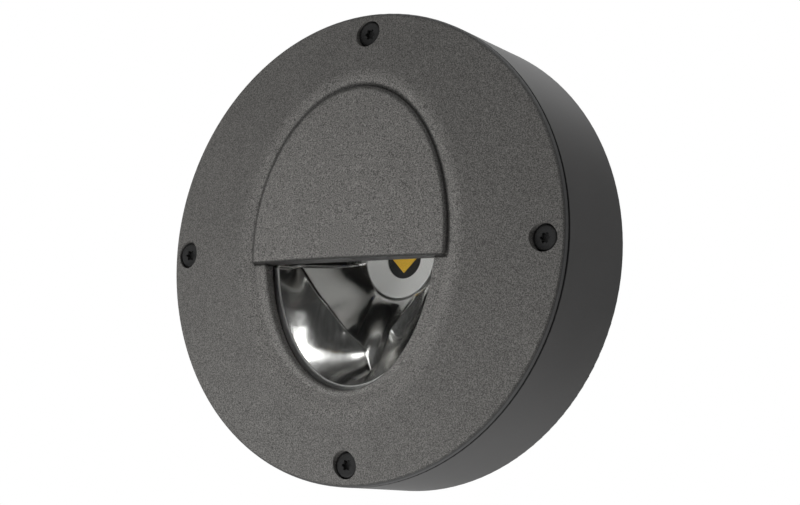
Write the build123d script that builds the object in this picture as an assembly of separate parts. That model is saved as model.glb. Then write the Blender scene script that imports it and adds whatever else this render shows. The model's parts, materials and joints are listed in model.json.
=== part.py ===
from build123d import *

import os
from math import cos, radians, sin, sqrt

# Round surface wall light: a cast cup on the wall, a domed front cover with an eyelid hood,
# and a light engine, driver and wiring inside.
# Sizes are millimetres. Pieces are modelled with x to the right, y up and z out from the wall,
# and stand_up turns each finished piece so that z is up and the front faces -Y.

# Cast body
BODY_DIAMETER = 160.0
SIDE_TAPER = 1.3
HOUSING_DEPTH = 37.0
HOUSING_WALL = 4.0
HOUSING_FLOOR = 3.0
BACK_EDGE_ROUND = 1.0
SEAM_EDGE_ROUND = 0.4

# Domed front cover
SEAL_THICKNESS = 0.5
COVER_RIM_HEIGHT = 2.0
DOME_RADIUS = 320.0
COVER_WALL = 3.0
COVER_EDGE_ROUND = 1.8

# Cover screws, M4 with a six-lobe recess
SCREW_EDGE = 7.3
SCREW_RADIUS = 2.0
SCREW_LENGTH = 12.0
SCREW_HEAD_RADIUS = 4.2
SCREW_HEAD_HEIGHT = 2.4
SCREW_HEAD_ROUND = 0.7
SCREW_HEAD_SINK = 1.3
LOBE_CORE_RADIUS = 1.45
LOBE_RADIUS = 0.5
LOBE_COUNT = 6
LOBE_DEPTH = 1.5
COUNTERBORE_RADIUS = 4.7
SCREW_HOLE_RADIUS = 2.2
THREAD_CLEARANCE = 0.05
SCREW_TIP_ROOM = 2.0
WASHER_THICKNESS = 0.5
WASHER_RADIUS = 4.3
WASHER_BORE_CLEARANCE = 0.15
COVER_BOSS_WALL = 0.6
COVER_BOSS_FLOOR = 2.0
COVER_HOLLOW_GAP = 1.9
BOSS_JOINT_GAP = 0.1
BOSS_CLEARANCE = 0.4

# Oval dish sunk into the dome round the hood and the light opening
CREST_SIDE_GAP = 29.2
CREST_END_GAP = 15.7
DISH_DEPTH = 1.9
DISH_RUN_SIDE = 7.0
DISH_RUN_TOP = 5.6
DISH_RUN_BOTTOM = 16.0
CREST_ROUND = 12.0

# Eyelid hood and the light opening below it
HOOD_GAP_SIDE = 4.0
HOOD_GAP_END = 3.0
HOOD_EDGE = -5.2
HOOD_CORNER_ROUND = 2.0
HOOD_ROUND = 0.8
OPENING_BAND_SIDE = 5.0
OPENING_BAND_END = 5.7
OPENING_ROUND = 0.8

# Seal in the seam between cover and housing
SEAL_INSET = 0.6
SEAL_WIDTH = 3.0
SEAL_BOSS_CLEARANCE = 0.2

# Window glass and what clamps it
WINDOW_LIP = 2.0
GLASS_SEAT_MARGIN = 4.4
GLASS_POCKET_CLEARANCE = 0.2
GLASS_LAP = 4.0
GLASS_THICKNESS = 2.0
GLASS_GASKET_THICKNESS = 0.5
GASKET_INSET = 0.3
RETAINER_THICKNESS = 1.2
RETAINER_WIDTH = 9.5
RETAINER_TOP_WIDTH = 13.0
RETAINER_BOSS_RADIUS = 3.6
RETAINER_BOSS_GAP = 0.4
RETAINER_SCREW_LENGTH = 4.0
RETAINER_SCREW_ANGLES = (-25.0, -90.0, -155.0)
RETAINER_TOP_SCREW_INSET = 5.5

# Polished reflector bowl
REFLECTOR_GAP = 0.3
REFLECTOR_INSET_SIDE = 0.9
REFLECTOR_INSET_END = 1.5
REFLECTOR_INSET_TOP = 0.2
REFLECTOR_TOP_SLOPE = 0.111
REFLECTOR_WALL_SLOPE_X = 0.92
REFLECTOR_WALL_SLOPE_Y = 0.615
BOWL_LIFT = 0.1
BOWL_CURVE = 0.01037
BOWL_SQUEEZE = 0.591
REFLECTOR_SKIN = 1.6
REFLECTOR_LIP_WIDTH = 2.0
REFLECTOR_LIP_THICKNESS = 1.2
REFLECTOR_LIP_CLEARANCE = 0.8
REFLECTOR_EAR_REACH = 6.4
REFLECTOR_EAR_Y = -12.0
REFLECTOR_EAR_DROP = 11.3
REFLECTOR_EAR_THICKNESS = 2.0
REFLECTOR_EAR_RADIUS = 4.5

# LED and its holder
LED_RING_RADIUS = 13.9
LED_RING_THICKNESS = 3.7
LED_RING_LAND = 0.7
LED_WINDOW_RADIUS = 6.9
LED_WINDOW_LIP = 0.4
LED_BASE_RADIUS = 8.4
LED_BASE_THICKNESS = 1.0
LED_BASE_CLEARANCE = 0.2
PHOSPHOR_SIDE = 7.0
PHOSPHOR_THICKNESS = 0.35
PHOSPHOR_TURN = 45.0
BOARD_RADIUS = 17.0
BOARD_THICKNESS = 1.6
THERMAL_PAD_RADIUS = 16.5
THERMAL_PAD_THICKNESS = 0.5
PEDESTAL_HEIGHT = 8.7
PEDESTAL_RADIUS = 18.5
HOLDER_EAR_RADIUS = 3.2
HOLDER_EAR_LIFT = 1.7
HOLDER_WEB_WIDTH = 4.0
LED_RING_CLEARANCE = 0.4

# Small inner screws, M3
SMALL_SCREW_RADIUS = 1.5
SMALL_SCREW_LENGTH = 8.0
SMALL_HEAD_RADIUS = 2.75
SMALL_HEAD_HEIGHT = 1.8
SMALL_HEAD_ROUND = 0.5
SMALL_SLOT_RADIUS = 1.2
SMALL_SLOT_WIDTH = 0.6
SMALL_SLOT_DEPTH = 0.9
SMALL_HOLE_CLEARANCE = 0.2
SMALL_THREAD_CLEARANCE = 0.02
SMALL_TIP_ROOM = 0.5
POST_RADIUS = 3.6
FOOT_HEIGHT = 8.0

# LED driver
DRIVER_LENGTH = 56.0
DRIVER_WIDTH = 32.0
DRIVER_HEIGHT = 21.0
DRIVER_CLEARANCE = 1.5
DRIVER_CORNER_ROUND = 4.0
DRIVER_LID_THICKNESS = 2.0
DRIVER_WALL = 2.0
DRIVER_FIT = 0.3
DRIVER_BOARD_THICKNESS = 1.6
TRANSFORMER_SIDE = 16.0
TRANSFORMER_HEIGHT = 12.0
CAPACITOR_RADIUS = 5.0
CAPACITOR_HEIGHT = 13.0
CAPACITOR_GAP = 4.0
TAB_LENGTH = 8.0
TAB_WIDTH = 8.0
TAB_THICKNESS = 3.0

# Mains terminal block
TERMINAL_Y = 16.0
TERMINAL_CLEARANCE = 1.5
TERMINAL_LENGTH = 28.0
TERMINAL_WIDTH = 13.0
TERMINAL_HEIGHT = 14.0
TERMINAL_POLES = 3
TERMINAL_PITCH = 8.0
TERMINAL_WIRE_RADIUS = 1.7
TERMINAL_WIRE_HEIGHT = 5.0
TERMINAL_WELL_RADIUS = 2.3
TERMINAL_SCREW_RADIUS = 2.0
TERMINAL_SCREW_LENGTH = 4.0
TERMINAL_SCREW_SINK = 1.5
TERMINAL_ROUND = 0.8

# Earth point
EARTH_GAP = 20.3
EARTH_Y = 13.0
EARTH_BOSS_RADIUS = 4.5
EARTH_BOSS_HEIGHT = 9.0
LUG_THICKNESS = 0.8
LUG_RADIUS = 4.0
LUG_BARREL_LENGTH = 4.0
LUG_BARREL_RADIUS = 1.5

# Inner leads
LEAD_RADIUS = 0.9
EARTH_LEAD_RADIUS = 1.1
LEAD_BEND = 2.0
LEAD_EXIT_RISE = 11.0
LEAD_EXIT_RUN = 4.0
LEAD_DROP_RUN = 4.5
LEAD_GRIP = 3.0
LED_LEAD_X = 5.0
LIVE_LEAD_DROP = 6.0
NEUTRAL_LEAD_DROP = 10.0
LUG_LEAD_RUN = 2.5

# Rear cable entries, wall fixings and wall gasket
ENTRY_EDGE = 23.4
ENTRY_ANGLE = 40.6
ENTRY_RADIUS = 9.0
GROMMET_FLANGE_RADIUS = 11.0
GROMMET_FLANGE_THICKNESS = 2.0
GROMMET_RECESS_DEPTH = 1.2
GROMMET_CLEARANCE = 0.1
CABLE_RADIUS = 4.0
PLUG_DISC_THICKNESS = 1.5
PLUG_WALL = 2.0
FIXING_EDGE = 21.7
FIXING_Y = -16.0
FIXING_HOLE_RADIUS = 2.7
FIXING_BOSS_RADIUS = 7.0
FIXING_BOSS_HEIGHT = 5.0
WALL_GASKET_EDGE = 7.7
WALL_GASKET_WIDTH = 4.0
WALL_GASKET_DEPTH = 1.5
WALL_GASKET_CLEARANCE = 0.1

# Reach of cutting tools past the faces they cut, and how near an edge counts as found
CUT_MARGIN = 1.0
EDGE_TOLERANCE = 0.05

# Heights and radii that follow from the sizes above
BODY_RADIUS = BODY_DIAMETER / 2
BACK_RADIUS = BODY_RADIUS - SIDE_TAPER
INNER_RADIUS = BACK_RADIUS - HOUSING_WALL
SCREW_CIRCLE = BODY_RADIUS - SCREW_EDGE
COVER_BACK = HOUSING_DEPTH + SEAL_THICKNESS
DOME_CENTRE = COVER_BACK + COVER_RIM_HEIGHT - sqrt(DOME_RADIUS**2 - BODY_RADIUS**2)
DOME_TOP = DOME_CENTRE + DOME_RADIUS
CREST_HALF_WIDTH = SCREW_CIRCLE - CREST_SIDE_GAP
CREST_HALF_HEIGHT = SCREW_CIRCLE - CREST_END_GAP
HOOD_HALF_WIDTH = CREST_HALF_WIDTH - HOOD_GAP_SIDE
HOOD_HALF_HEIGHT = CREST_HALF_HEIGHT - HOOD_GAP_END
OPENING_HALF_WIDTH = HOOD_HALF_WIDTH - OPENING_BAND_SIDE
OPENING_HALF_HEIGHT = HOOD_HALF_HEIGHT - OPENING_BAND_END
COVER_BOSS_RADIUS = COUNTERBORE_RADIUS + COVER_BOSS_WALL
HOUSING_BOSS_RADIUS = COVER_BOSS_RADIUS + BOSS_CLEARANCE
COVER_HOLLOW_RADIUS = SCREW_CIRCLE - COVER_BOSS_RADIUS - COVER_HOLLOW_GAP


def dome_height(radius, offset=0.0):
    """Height above the wall of the dome, sunk by offset, at a distance from the axis."""
    return DOME_CENTRE + sqrt((DOME_RADIUS - offset)**2 - radius**2)


HEAD_TOP = dome_height(SCREW_CIRCLE) - SCREW_HEAD_SINK
WASHER_TOP = HEAD_TOP - SCREW_HEAD_HEIGHT
SCREW_SEAT = WASHER_TOP - WASHER_THICKNESS
SCREW_TIP = WASHER_TOP - SCREW_LENGTH
COVER_BOSS_BOTTOM = SCREW_SEAT - COVER_BOSS_FLOOR
HOUSING_BOSS_TOP = COVER_BOSS_BOTTOM - BOSS_JOINT_GAP
GLASS_SEAT_HEIGHT = dome_height(OPENING_HALF_HEIGHT, DISH_DEPTH) - WINDOW_LIP
GLASS_FRONT = GLASS_SEAT_HEIGHT - GLASS_GASKET_THICKNESS
GLASS_BACK = GLASS_FRONT - GLASS_THICKNESS
GLASS_HALF_WIDTH = OPENING_HALF_WIDTH + GLASS_LAP
GLASS_HALF_HEIGHT = OPENING_HALF_HEIGHT + GLASS_LAP
GLASS_TOP = HOOD_EDGE + GLASS_LAP
REFLECTOR_HALF_WIDTH = OPENING_HALF_WIDTH - REFLECTOR_INSET_SIDE
REFLECTOR_HALF_HEIGHT = OPENING_HALF_HEIGHT - REFLECTOR_INSET_END
REFLECTOR_TOP_FRONT = HOOD_EDGE - REFLECTOR_INSET_TOP
REFLECTOR_FRONT = GLASS_BACK - REFLECTOR_GAP
REFLECTOR_EAR_X = REFLECTOR_HALF_WIDTH + REFLECTOR_EAR_REACH
REFLECTOR_EAR_HEIGHT = REFLECTOR_FRONT - REFLECTOR_EAR_DROP
RETAINER_BACK = GLASS_BACK - RETAINER_THICKNESS
RETAINER_INNER = REFLECTOR_LIP_WIDTH + REFLECTOR_LIP_CLEARANCE
RETAINER_INNER_TOP = REFLECTOR_TOP_FRONT + REFLECTOR_LIP_CLEARANCE
RETAINER_SCREW_OFFSET = GLASS_LAP + RETAINER_BOSS_GAP + RETAINER_BOSS_RADIUS
RETAINER_TOP_SCREW_X = GLASS_HALF_WIDTH - RETAINER_TOP_SCREW_INSET
PAD_TOP = PEDESTAL_HEIGHT + THERMAL_PAD_THICKNESS
BOARD_TOP = PAD_TOP + BOARD_THICKNESS
BOWL_VERTEX_HEIGHT = BOARD_TOP + BOWL_LIFT
LED_BASE_TOP = BOARD_TOP + LED_BASE_THICKNESS
LED_RING_HEIGHT = BOARD_TOP + LED_RING_THICKNESS
LED_WINDOW_HEIGHT = LED_BASE_TOP + LED_WINDOW_LIP
HOLDER_EAR_HEIGHT = BOARD_TOP + HOLDER_EAR_LIFT
HOLDER_EAR_X = BOARD_RADIUS + POST_RADIUS
TAB_TOP = FOOT_HEIGHT + TAB_THICKNESS
DRIVER_CENTRE_Y = SCREW_CIRCLE - HOUSING_BOSS_RADIUS - DRIVER_CLEARANCE - DRIVER_WIDTH / 2
TERMINAL_REACH = TERMINAL_Y + TERMINAL_LENGTH / 2 + TAB_WIDTH
TERMINAL_X = TERMINAL_CLEARANCE + TAB_LENGTH / 2 - sqrt(INNER_RADIUS**2 - TERMINAL_REACH**2)
TERMINAL_FACE_X = TERMINAL_X + TERMINAL_WIDTH / 2
EARTH_X = TERMINAL_FACE_X + EARTH_GAP
LEAD_EXIT_HEIGHT = HOUSING_FLOOR + LEAD_EXIT_RISE
ENTRY_X = (BACK_RADIUS - ENTRY_EDGE) * cos(radians(ENTRY_ANGLE))
ENTRY_Y = (ENTRY_EDGE - BACK_RADIUS) * sin(radians(ENTRY_ANGLE))
FIXING_X = BACK_RADIUS - FIXING_EDGE
WALL_GASKET_RADIUS = BACK_RADIUS - WALL_GASKET_EDGE
BASE = (Align.CENTER, Align.CENTER, Align.MIN)

SCREW_PLACES = {
    "top": (0.0, SCREW_CIRCLE),
    "right": (SCREW_CIRCLE, 0.0),
    "bottom": (0.0, -SCREW_CIRCLE),
    "left": (-SCREW_CIRCLE, 0.0),
}


def rod(radius, low, high, at=(0.0, 0.0)):
    """Cylinder along z between two heights."""
    return Pos(at[0], at[1], low) * Cylinder(radius, high - low, align=BASE)


def block(size_x, size_y, low, high, at=(0.0, 0.0)):
    """Box between two heights."""
    return Pos(at[0], at[1], low) * Box(size_x, size_y, high - low, align=BASE)


def slab(sketch, low, high):
    """A flat outline drawn at the wall, raised between two heights."""
    return extrude(Pos(0, 0, low) * sketch, high - low)


def oval_below(half_width, half_height, top):
    """Lower part of an ellipse with a straight top edge."""
    keep = Pos(0, top - BODY_RADIUS) * Rectangle(BODY_DIAMETER, BODY_DIAMETER)
    return Ellipse(half_width, half_height) & keep


def oval_above(half_width, half_height, edge):
    """Upper part of an ellipse with a straight lower edge."""
    keep = Pos(0, edge + BODY_RADIUS) * Rectangle(BODY_DIAMETER, BODY_DIAMETER)
    return Ellipse(half_width, half_height) & keep


def turned(points):
    """Solid of revolution about z from a closed outline of radius and height."""
    outline = make_face(Polyline(*points, close=True))
    return revolve(Plane.XZ * outline, Axis.Z)


def dome_ball(offset):
    """The ball whose skin is the dome, sunk by offset."""
    return Pos(0, 0, DOME_CENTRE) * Sphere(DOME_RADIUS - offset)


def edges_where(solid, test):
    """Edges whose start, middle and end all pass a test of x, y and z."""
    stations = (0.0, 0.25, 0.5, 0.75)
    return solid.edges().filter_by(
        lambda edge: all(test(*tuple(edge @ place)) for place in stations)
    )


def on_oval(x, y, half_width, half_height):
    """True on the outline of an ellipse, within the edge tolerance."""
    return abs(sqrt((x / half_width)**2 + (y / half_height)**2) - 1) < EDGE_TOLERANCE


def on_dome(x, y, z, offset):
    """True on the dome sunk by offset, within the edge tolerance."""
    return abs(z - dome_height(sqrt(x * x + y * y), offset)) < EDGE_TOLERANCE


def cover_blank():
    """Domed disc with a rounded front edge, before anything is cut from it."""
    rim = (BODY_RADIUS, dome_height(BODY_RADIUS))
    middle = (BODY_RADIUS / 2, dome_height(BODY_RADIUS / 2))
    outline = make_face([
        Line((0, COVER_BACK), (BODY_RADIUS, COVER_BACK)),
        Line((BODY_RADIUS, COVER_BACK), rim),
        ThreePointArc(rim, middle, (0, DOME_TOP)),
        Line((0, DOME_TOP), (0, COVER_BACK)),
    ])
    corners = outline.vertices().group_by(Axis.X)[-1].sort_by(Axis.Y)
    outline = fillet(corners[-1], COVER_EDGE_ROUND)
    seam_corner = outline.vertices().sort_by(Axis.Y).filter_by(
        lambda corner: corner.Y < COVER_BACK + EDGE_TOLERANCE and corner.X > BODY_RADIUS / 2
    )
    outline = fillet(seam_corner, SEAM_EDGE_ROUND)
    return revolve(Plane.XZ * outline, Axis.Z)


def dish_cone():
    """Flared oval plug whose skin meets the dome along the crest, steeper at the top."""
    low = dome_height(CREST_HALF_HEIGHT, DISH_DEPTH) - CUT_MARGIN
    high = DOME_TOP + CUT_MARGIN

    def section(height):
        rise_side = height - dome_height(CREST_HALF_WIDTH)
        rise_end = height - dome_height(CREST_HALF_HEIGHT)
        half_width = CREST_HALF_WIDTH + rise_side * DISH_RUN_SIDE / DISH_DEPTH
        top = CREST_HALF_HEIGHT + rise_end * DISH_RUN_TOP / DISH_DEPTH
        bottom = CREST_HALF_HEIGHT + rise_end * DISH_RUN_BOTTOM / DISH_DEPTH
        return Pos(0, (top - bottom) / 2, height) * Ellipse(half_width, (top + bottom) / 2)

    return loft([section(low), section(high)], ruled=True)


def hood_outline():
    """Arch of the eyelid hood with its two lower corners rounded."""
    arch = oval_above(HOOD_HALF_WIDTH, HOOD_HALF_HEIGHT, HOOD_EDGE)
    return fillet(arch.vertices().group_by(Axis.Y)[0], HOOD_CORNER_ROUND)


def retainer_screw_places():
    """Centres of the screws that hold the window retainer."""
    ring = Ellipse(OPENING_HALF_WIDTH + RETAINER_SCREW_OFFSET, OPENING_HALF_HEIGHT + RETAINER_SCREW_OFFSET)
    path = ring.edges()[0]
    places = [path @ ((angle % 360) / 360) for angle in RETAINER_SCREW_ANGLES]
    top_y = GLASS_TOP + RETAINER_BOSS_GAP + RETAINER_BOSS_RADIUS
    tops = [Vector(side * RETAINER_TOP_SCREW_X, top_y, 0) for side in (-1, 1)]
    return [(place.X, place.Y) for place in places + tops]


def cover_skin():
    """Front of the cover: dome, dish with a soft crest, rounded hood and light opening."""
    hood = slab(hood_outline(), 0, DOME_TOP + CUT_MARGIN)
    dish = dish_cone() - dome_ball(DISH_DEPTH) - hood
    opening = oval_below(OPENING_HALF_WIDTH, OPENING_HALF_HEIGHT, HOOD_EDGE)
    skin = cover_blank() - dish

    def on_crest(x, y, z):
        return on_oval(x, y, CREST_HALF_WIDTH, CREST_HALF_HEIGHT) and on_dome(x, y, z, 0)

    def on_hood(x, y, z):
        inside = (x / CREST_HALF_WIDTH)**2 + (y / CREST_HALF_HEIGHT)**2 < 1 - EDGE_TOLERANCE
        return inside and on_dome(x, y, z, 0)

    def on_lip(x, y, z):
        return on_oval(x, y, OPENING_HALF_WIDTH, OPENING_HALF_HEIGHT) and on_dome(x, y, z, DISH_DEPTH)

    skin = fillet(edges_where(skin, on_crest), CREST_ROUND)
    skin = fillet(edges_where(skin, on_hood), HOOD_ROUND)
    skin = skin - slab(opening, 0, DOME_TOP + CUT_MARGIN)
    return fillet(edges_where(skin, on_lip), OPENING_ROUND)


def cover_hollow():
    """Room behind the dome, round the glass seat and the retainer bosses."""
    seat = oval_below(
        GLASS_HALF_WIDTH + GLASS_SEAT_MARGIN,
        GLASS_HALF_HEIGHT + GLASS_SEAT_MARGIN,
        GLASS_TOP + GLASS_SEAT_MARGIN,
    )
    pocket = oval_below(
        GLASS_HALF_WIDTH + GLASS_POCKET_CLEARANCE,
        GLASS_HALF_HEIGHT + GLASS_POCKET_CLEARANCE,
        GLASS_TOP + GLASS_POCKET_CLEARANCE,
    )
    room = rod(COVER_HOLLOW_RADIUS, COVER_BACK - CUT_MARGIN, DOME_TOP)
    hollow = (room & dome_ball(COVER_WALL)) - slab(seat, GLASS_SEAT_HEIGHT, DOME_TOP)
    for place in retainer_screw_places():
        hollow -= rod(RETAINER_BOSS_RADIUS, GLASS_BACK, DOME_TOP, place)
    return hollow + slab(pocket, GLASS_BACK, GLASS_SEAT_HEIGHT)


def front_cover():
    """Cast cover with its glass seat, retainer bosses and counterbored screw bosses."""
    cover = cover_skin() - cover_hollow()
    for place in SCREW_PLACES.values():
        cover += rod(COVER_BOSS_RADIUS, COVER_BOSS_BOTTOM, COVER_BACK + CUT_MARGIN, place)
    for place in SCREW_PLACES.values():
        cover -= rod(COUNTERBORE_RADIUS, SCREW_SEAT, DOME_TOP, place)
        cover -= rod(SCREW_HOLE_RADIUS, COVER_BOSS_BOTTOM - CUT_MARGIN, DOME_TOP, place)
    tap = SMALL_SCREW_RADIUS + SMALL_THREAD_CLEARANCE
    tip = RETAINER_BACK + RETAINER_SCREW_LENGTH
    for place in retainer_screw_places():
        cover -= rod(tap, GLASS_BACK - CUT_MARGIN, tip + SMALL_TIP_ROOM, place)
    return cover


def six_lobe(depth, top):
    """Cutter for a six-lobe drive recess."""
    star = Circle(LOBE_CORE_RADIUS)
    for lobe in PolarLocations(LOBE_CORE_RADIUS, LOBE_COUNT):
        star += lobe * Circle(LOBE_RADIUS)
    return slab(star, top - depth, top + CUT_MARGIN)


def cover_screw(place):
    """Black cover screw: low round head with a six-lobe recess, plain shank for the thread."""
    head = rod(SCREW_HEAD_RADIUS, WASHER_TOP, HEAD_TOP)
    head = fillet(head.edges().group_by(Axis.Z)[-1], SCREW_HEAD_ROUND)
    screw = head - six_lobe(LOBE_DEPTH, HEAD_TOP) + rod(SCREW_RADIUS, SCREW_TIP, WASHER_TOP)
    return Pos(*place, 0) * screw


def screw_seal(place):
    """Seal washer under a cover screw's head."""
    bore = SCREW_RADIUS + WASHER_BORE_CLEARANCE
    washer = rod(WASHER_RADIUS, SCREW_SEAT, WASHER_TOP) - rod(bore, SCREW_SEAT, WASHER_TOP)
    return Pos(*place, 0) * washer


def cover_seal():
    """Flat ring in the seam, scalloped to pass outside the four screw bosses."""
    outer = BODY_RADIUS - SEAL_INSET
    seal = rod(outer, HOUSING_DEPTH, COVER_BACK) - rod(outer - SEAL_WIDTH, HOUSING_DEPTH, COVER_BACK)
    for place in SCREW_PLACES.values():
        seal -= rod(HOUSING_BOSS_RADIUS + SEAL_BOSS_CLEARANCE, HOUSING_DEPTH, COVER_BACK, place)
    return seal


def window_glass():
    """Clear window behind the light opening."""
    return slab(oval_below(GLASS_HALF_WIDTH, GLASS_HALF_HEIGHT, GLASS_TOP), GLASS_BACK, GLASS_FRONT)


def glass_gasket():
    """Soft frame between the window and its seat."""
    frame = oval_below(GLASS_HALF_WIDTH, GLASS_HALF_HEIGHT, GLASS_TOP)
    frame -= oval_below(
        OPENING_HALF_WIDTH + GASKET_INSET, OPENING_HALF_HEIGHT + GASKET_INSET, HOOD_EDGE + GASKET_INSET
    )
    return slab(frame, GLASS_FRONT, GLASS_SEAT_HEIGHT)


def glass_retainer():
    """Sheet-steel frame that clamps the window from behind."""
    inner_width = REFLECTOR_HALF_WIDTH + RETAINER_INNER
    inner_height = REFLECTOR_HALF_HEIGHT + RETAINER_INNER
    frame = oval_below(
        inner_width + RETAINER_WIDTH, inner_height + RETAINER_WIDTH, RETAINER_INNER_TOP + RETAINER_TOP_WIDTH
    )
    frame -= oval_below(inner_width, inner_height, RETAINER_INNER_TOP)
    for place in retainer_screw_places():
        frame -= Pos(*place) * Circle(SMALL_SCREW_RADIUS + SMALL_HOLE_CLEARANCE)
    return slab(frame, RETAINER_BACK, GLASS_BACK)


def small_screw(length):
    """Small pan-head screw with a cross recess, head up, its head's underside at height zero."""
    head = rod(SMALL_HEAD_RADIUS, 0, SMALL_HEAD_HEIGHT)
    head = fillet(head.edges().group_by(Axis.Z)[-1], SMALL_HEAD_ROUND)
    bottom = SMALL_HEAD_HEIGHT - SMALL_SLOT_DEPTH
    slot = block(2 * SMALL_SLOT_RADIUS, SMALL_SLOT_WIDTH, bottom, SMALL_HEAD_HEIGHT + CUT_MARGIN)
    head = head - slot - Rot(0, 0, 90) * slot
    return head + rod(SMALL_SCREW_RADIUS, -length, 0)


def screws_at(places, height, length=SMALL_SCREW_LENGTH):
    """A set of separate small screws, heads towards the front, seated at one height."""
    return [Pos(*place, height) * small_screw(length) for place in places]


def retainer_screws():
    """Screws that hold the retainer, driven from behind into the cover."""
    turned_over = Rot(180, 0, 0) * small_screw(RETAINER_SCREW_LENGTH)
    return [Pos(*place, RETAINER_BACK) * turned_over for place in retainer_screw_places()]


def reflector_wall(skin):
    """Drafted oval plug for the reflector's side wall, grown by skin."""

    def section(drop):
        half_width = REFLECTOR_HALF_WIDTH + skin - REFLECTOR_WALL_SLOPE_X * drop
        half_height = REFLECTOR_HALF_HEIGHT + skin - REFLECTOR_WALL_SLOPE_Y * drop
        return Pos(0, 0, REFLECTOR_FRONT - drop) * Ellipse(half_width, half_height)

    return loft([section(REFLECTOR_FRONT - BOARD_TOP), section(-CUT_MARGIN)], ruled=True)


def reflector_bowl(skin):
    """Oval paraboloid that forms the bowl behind the LED, lowered by skin."""
    rise = REFLECTOR_FRONT + CUT_MARGIN + skin - BOWL_VERTEX_HEIGHT
    reach = sqrt(rise / BOWL_CURVE)
    curve = Bezier((0, 0), (reach / 2, 0), (reach, rise))
    outline = make_face([curve, Line((reach, rise), (0, rise)), Line((0, rise), (0, 0))])
    round_bowl = revolve(Plane.XZ * outline, Axis.Z)
    return Pos(0, 0, BOWL_VERTEX_HEIGHT - skin) * scale(round_bowl, by=(BOWL_SQUEEZE, 1, 1))


def above_reflector():
    """Everything above the reflector's sloping top edge."""
    depth = REFLECTOR_FRONT + CUT_MARGIN
    edge_front = REFLECTOR_TOP_FRONT - REFLECTOR_TOP_SLOPE * CUT_MARGIN
    edge_back = REFLECTOR_TOP_FRONT + REFLECTOR_TOP_SLOPE * REFLECTOR_FRONT
    outline = make_face(Polyline(
        (edge_front, depth), (edge_back, 0), (BODY_RADIUS, 0), (BODY_RADIUS, depth), close=True
    ))
    return extrude(Plane.YZ * outline, BODY_RADIUS, both=True)


def reflector_ear_places():
    """Centres of the two reflector fixings."""
    return [(side * REFLECTOR_EAR_X, REFLECTOR_EAR_Y) for side in (-1, 1)]


def reflector():
    """Polished bowl with a front lip, two fixing ears and a hole for the LED holder."""
    ear_top = REFLECTOR_EAR_HEIGHT + REFLECTOR_EAR_THICKNESS
    below_front = rod(BODY_RADIUS, 0, REFLECTOR_FRONT)
    bowl = reflector_wall(REFLECTOR_SKIN) & reflector_bowl(REFLECTOR_SKIN) & below_front
    lip = Ellipse(REFLECTOR_HALF_WIDTH + REFLECTOR_LIP_WIDTH, REFLECTOR_HALF_HEIGHT + REFLECTOR_LIP_WIDTH)
    bowl += slab(lip, REFLECTOR_FRONT - REFLECTOR_LIP_THICKNESS, REFLECTOR_FRONT)
    for place in reflector_ear_places():
        bowl += rod(REFLECTOR_EAR_RADIUS, REFLECTOR_EAR_HEIGHT, ear_top, place)
        web = (place[0] / 2, place[1])
        bowl += block(abs(place[0]), 2 * REFLECTOR_EAR_RADIUS, REFLECTOR_EAR_HEIGHT, ear_top, web)
    bowl -= reflector_wall(0) & reflector_bowl(0)
    bowl -= above_reflector()
    bowl -= rod(LED_RING_RADIUS + LED_RING_CLEARANCE, 0, REFLECTOR_FRONT)
    for place in reflector_ear_places():
        bowl -= rod(SMALL_SCREW_RADIUS + SMALL_HOLE_CLEARANCE, 0, REFLECTOR_FRONT, place)
    return bowl


def holder_ear_places():
    """Centres of the two LED holder fixings."""
    return [(side * HOLDER_EAR_X, 0.0) for side in (-1, 1)]


def led_holder():
    """White dished ring that clamps the LED base, with two screw ears."""
    seat = LED_BASE_RADIUS + LED_BASE_CLEARANCE
    ring = turned([
        (seat, BOARD_TOP),
        (LED_RING_RADIUS, BOARD_TOP),
        (LED_RING_RADIUS, LED_RING_HEIGHT),
        (LED_RING_RADIUS - LED_RING_LAND, LED_RING_HEIGHT),
        (LED_WINDOW_RADIUS, LED_WINDOW_HEIGHT),
        (LED_WINDOW_RADIUS, LED_BASE_TOP),
        (seat, LED_BASE_TOP),
    ])
    reach = HOLDER_EAR_X - LED_RING_RADIUS + LED_RING_LAND
    for side, place in zip((-1, 1), holder_ear_places()):
        ring += rod(HOLDER_EAR_RADIUS, PEDESTAL_HEIGHT, HOLDER_EAR_HEIGHT, place)
        web = (side * (HOLDER_EAR_X - reach / 2), 0.0)
        ring += block(reach, HOLDER_WEB_WIDTH, BOARD_TOP, HOLDER_EAR_HEIGHT, web)
    for place in holder_ear_places():
        ring -= rod(SMALL_SCREW_RADIUS + SMALL_HOLE_CLEARANCE, 0, LED_RING_HEIGHT, place)
    return ring


def led_base():
    """Dark round LED base."""
    return rod(LED_BASE_RADIUS, BOARD_TOP, LED_BASE_TOP)


def led_phosphor():
    """Yellow square phosphor, turned on its corner."""
    patch = Rot(0, 0, PHOSPHOR_TURN) * Rectangle(PHOSPHOR_SIDE, PHOSPHOR_SIDE)
    return slab(patch, LED_BASE_TOP, LED_BASE_TOP + PHOSPHOR_THICKNESS)


def tabbed(body, places):
    """A module with screw tabs at the given places, all at the foot height."""
    for place in places:
        body += block(TAB_LENGTH, TAB_WIDTH, FOOT_HEIGHT, TAB_TOP, place)
    for place in places:
        body -= rod(SMALL_SCREW_RADIUS + SMALL_HOLE_CLEARANCE, 0, TAB_TOP + CUT_MARGIN, place)
    return body


def driver_tab_places():
    """Centres of the driver's two screw tabs."""
    reach = (DRIVER_LENGTH + TAB_LENGTH) / 2
    return [(side * reach, DRIVER_CENTRE_Y) for side in (-1, 1)]


def driver_outline(inset=0.0):
    """Round-cornered plan of the driver, drawn in by inset."""
    plan = RectangleRounded(
        DRIVER_LENGTH - 2 * inset, DRIVER_WIDTH - 2 * inset, DRIVER_CORNER_ROUND - inset
    )
    return Pos(0, DRIVER_CENTRE_Y) * plan


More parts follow.
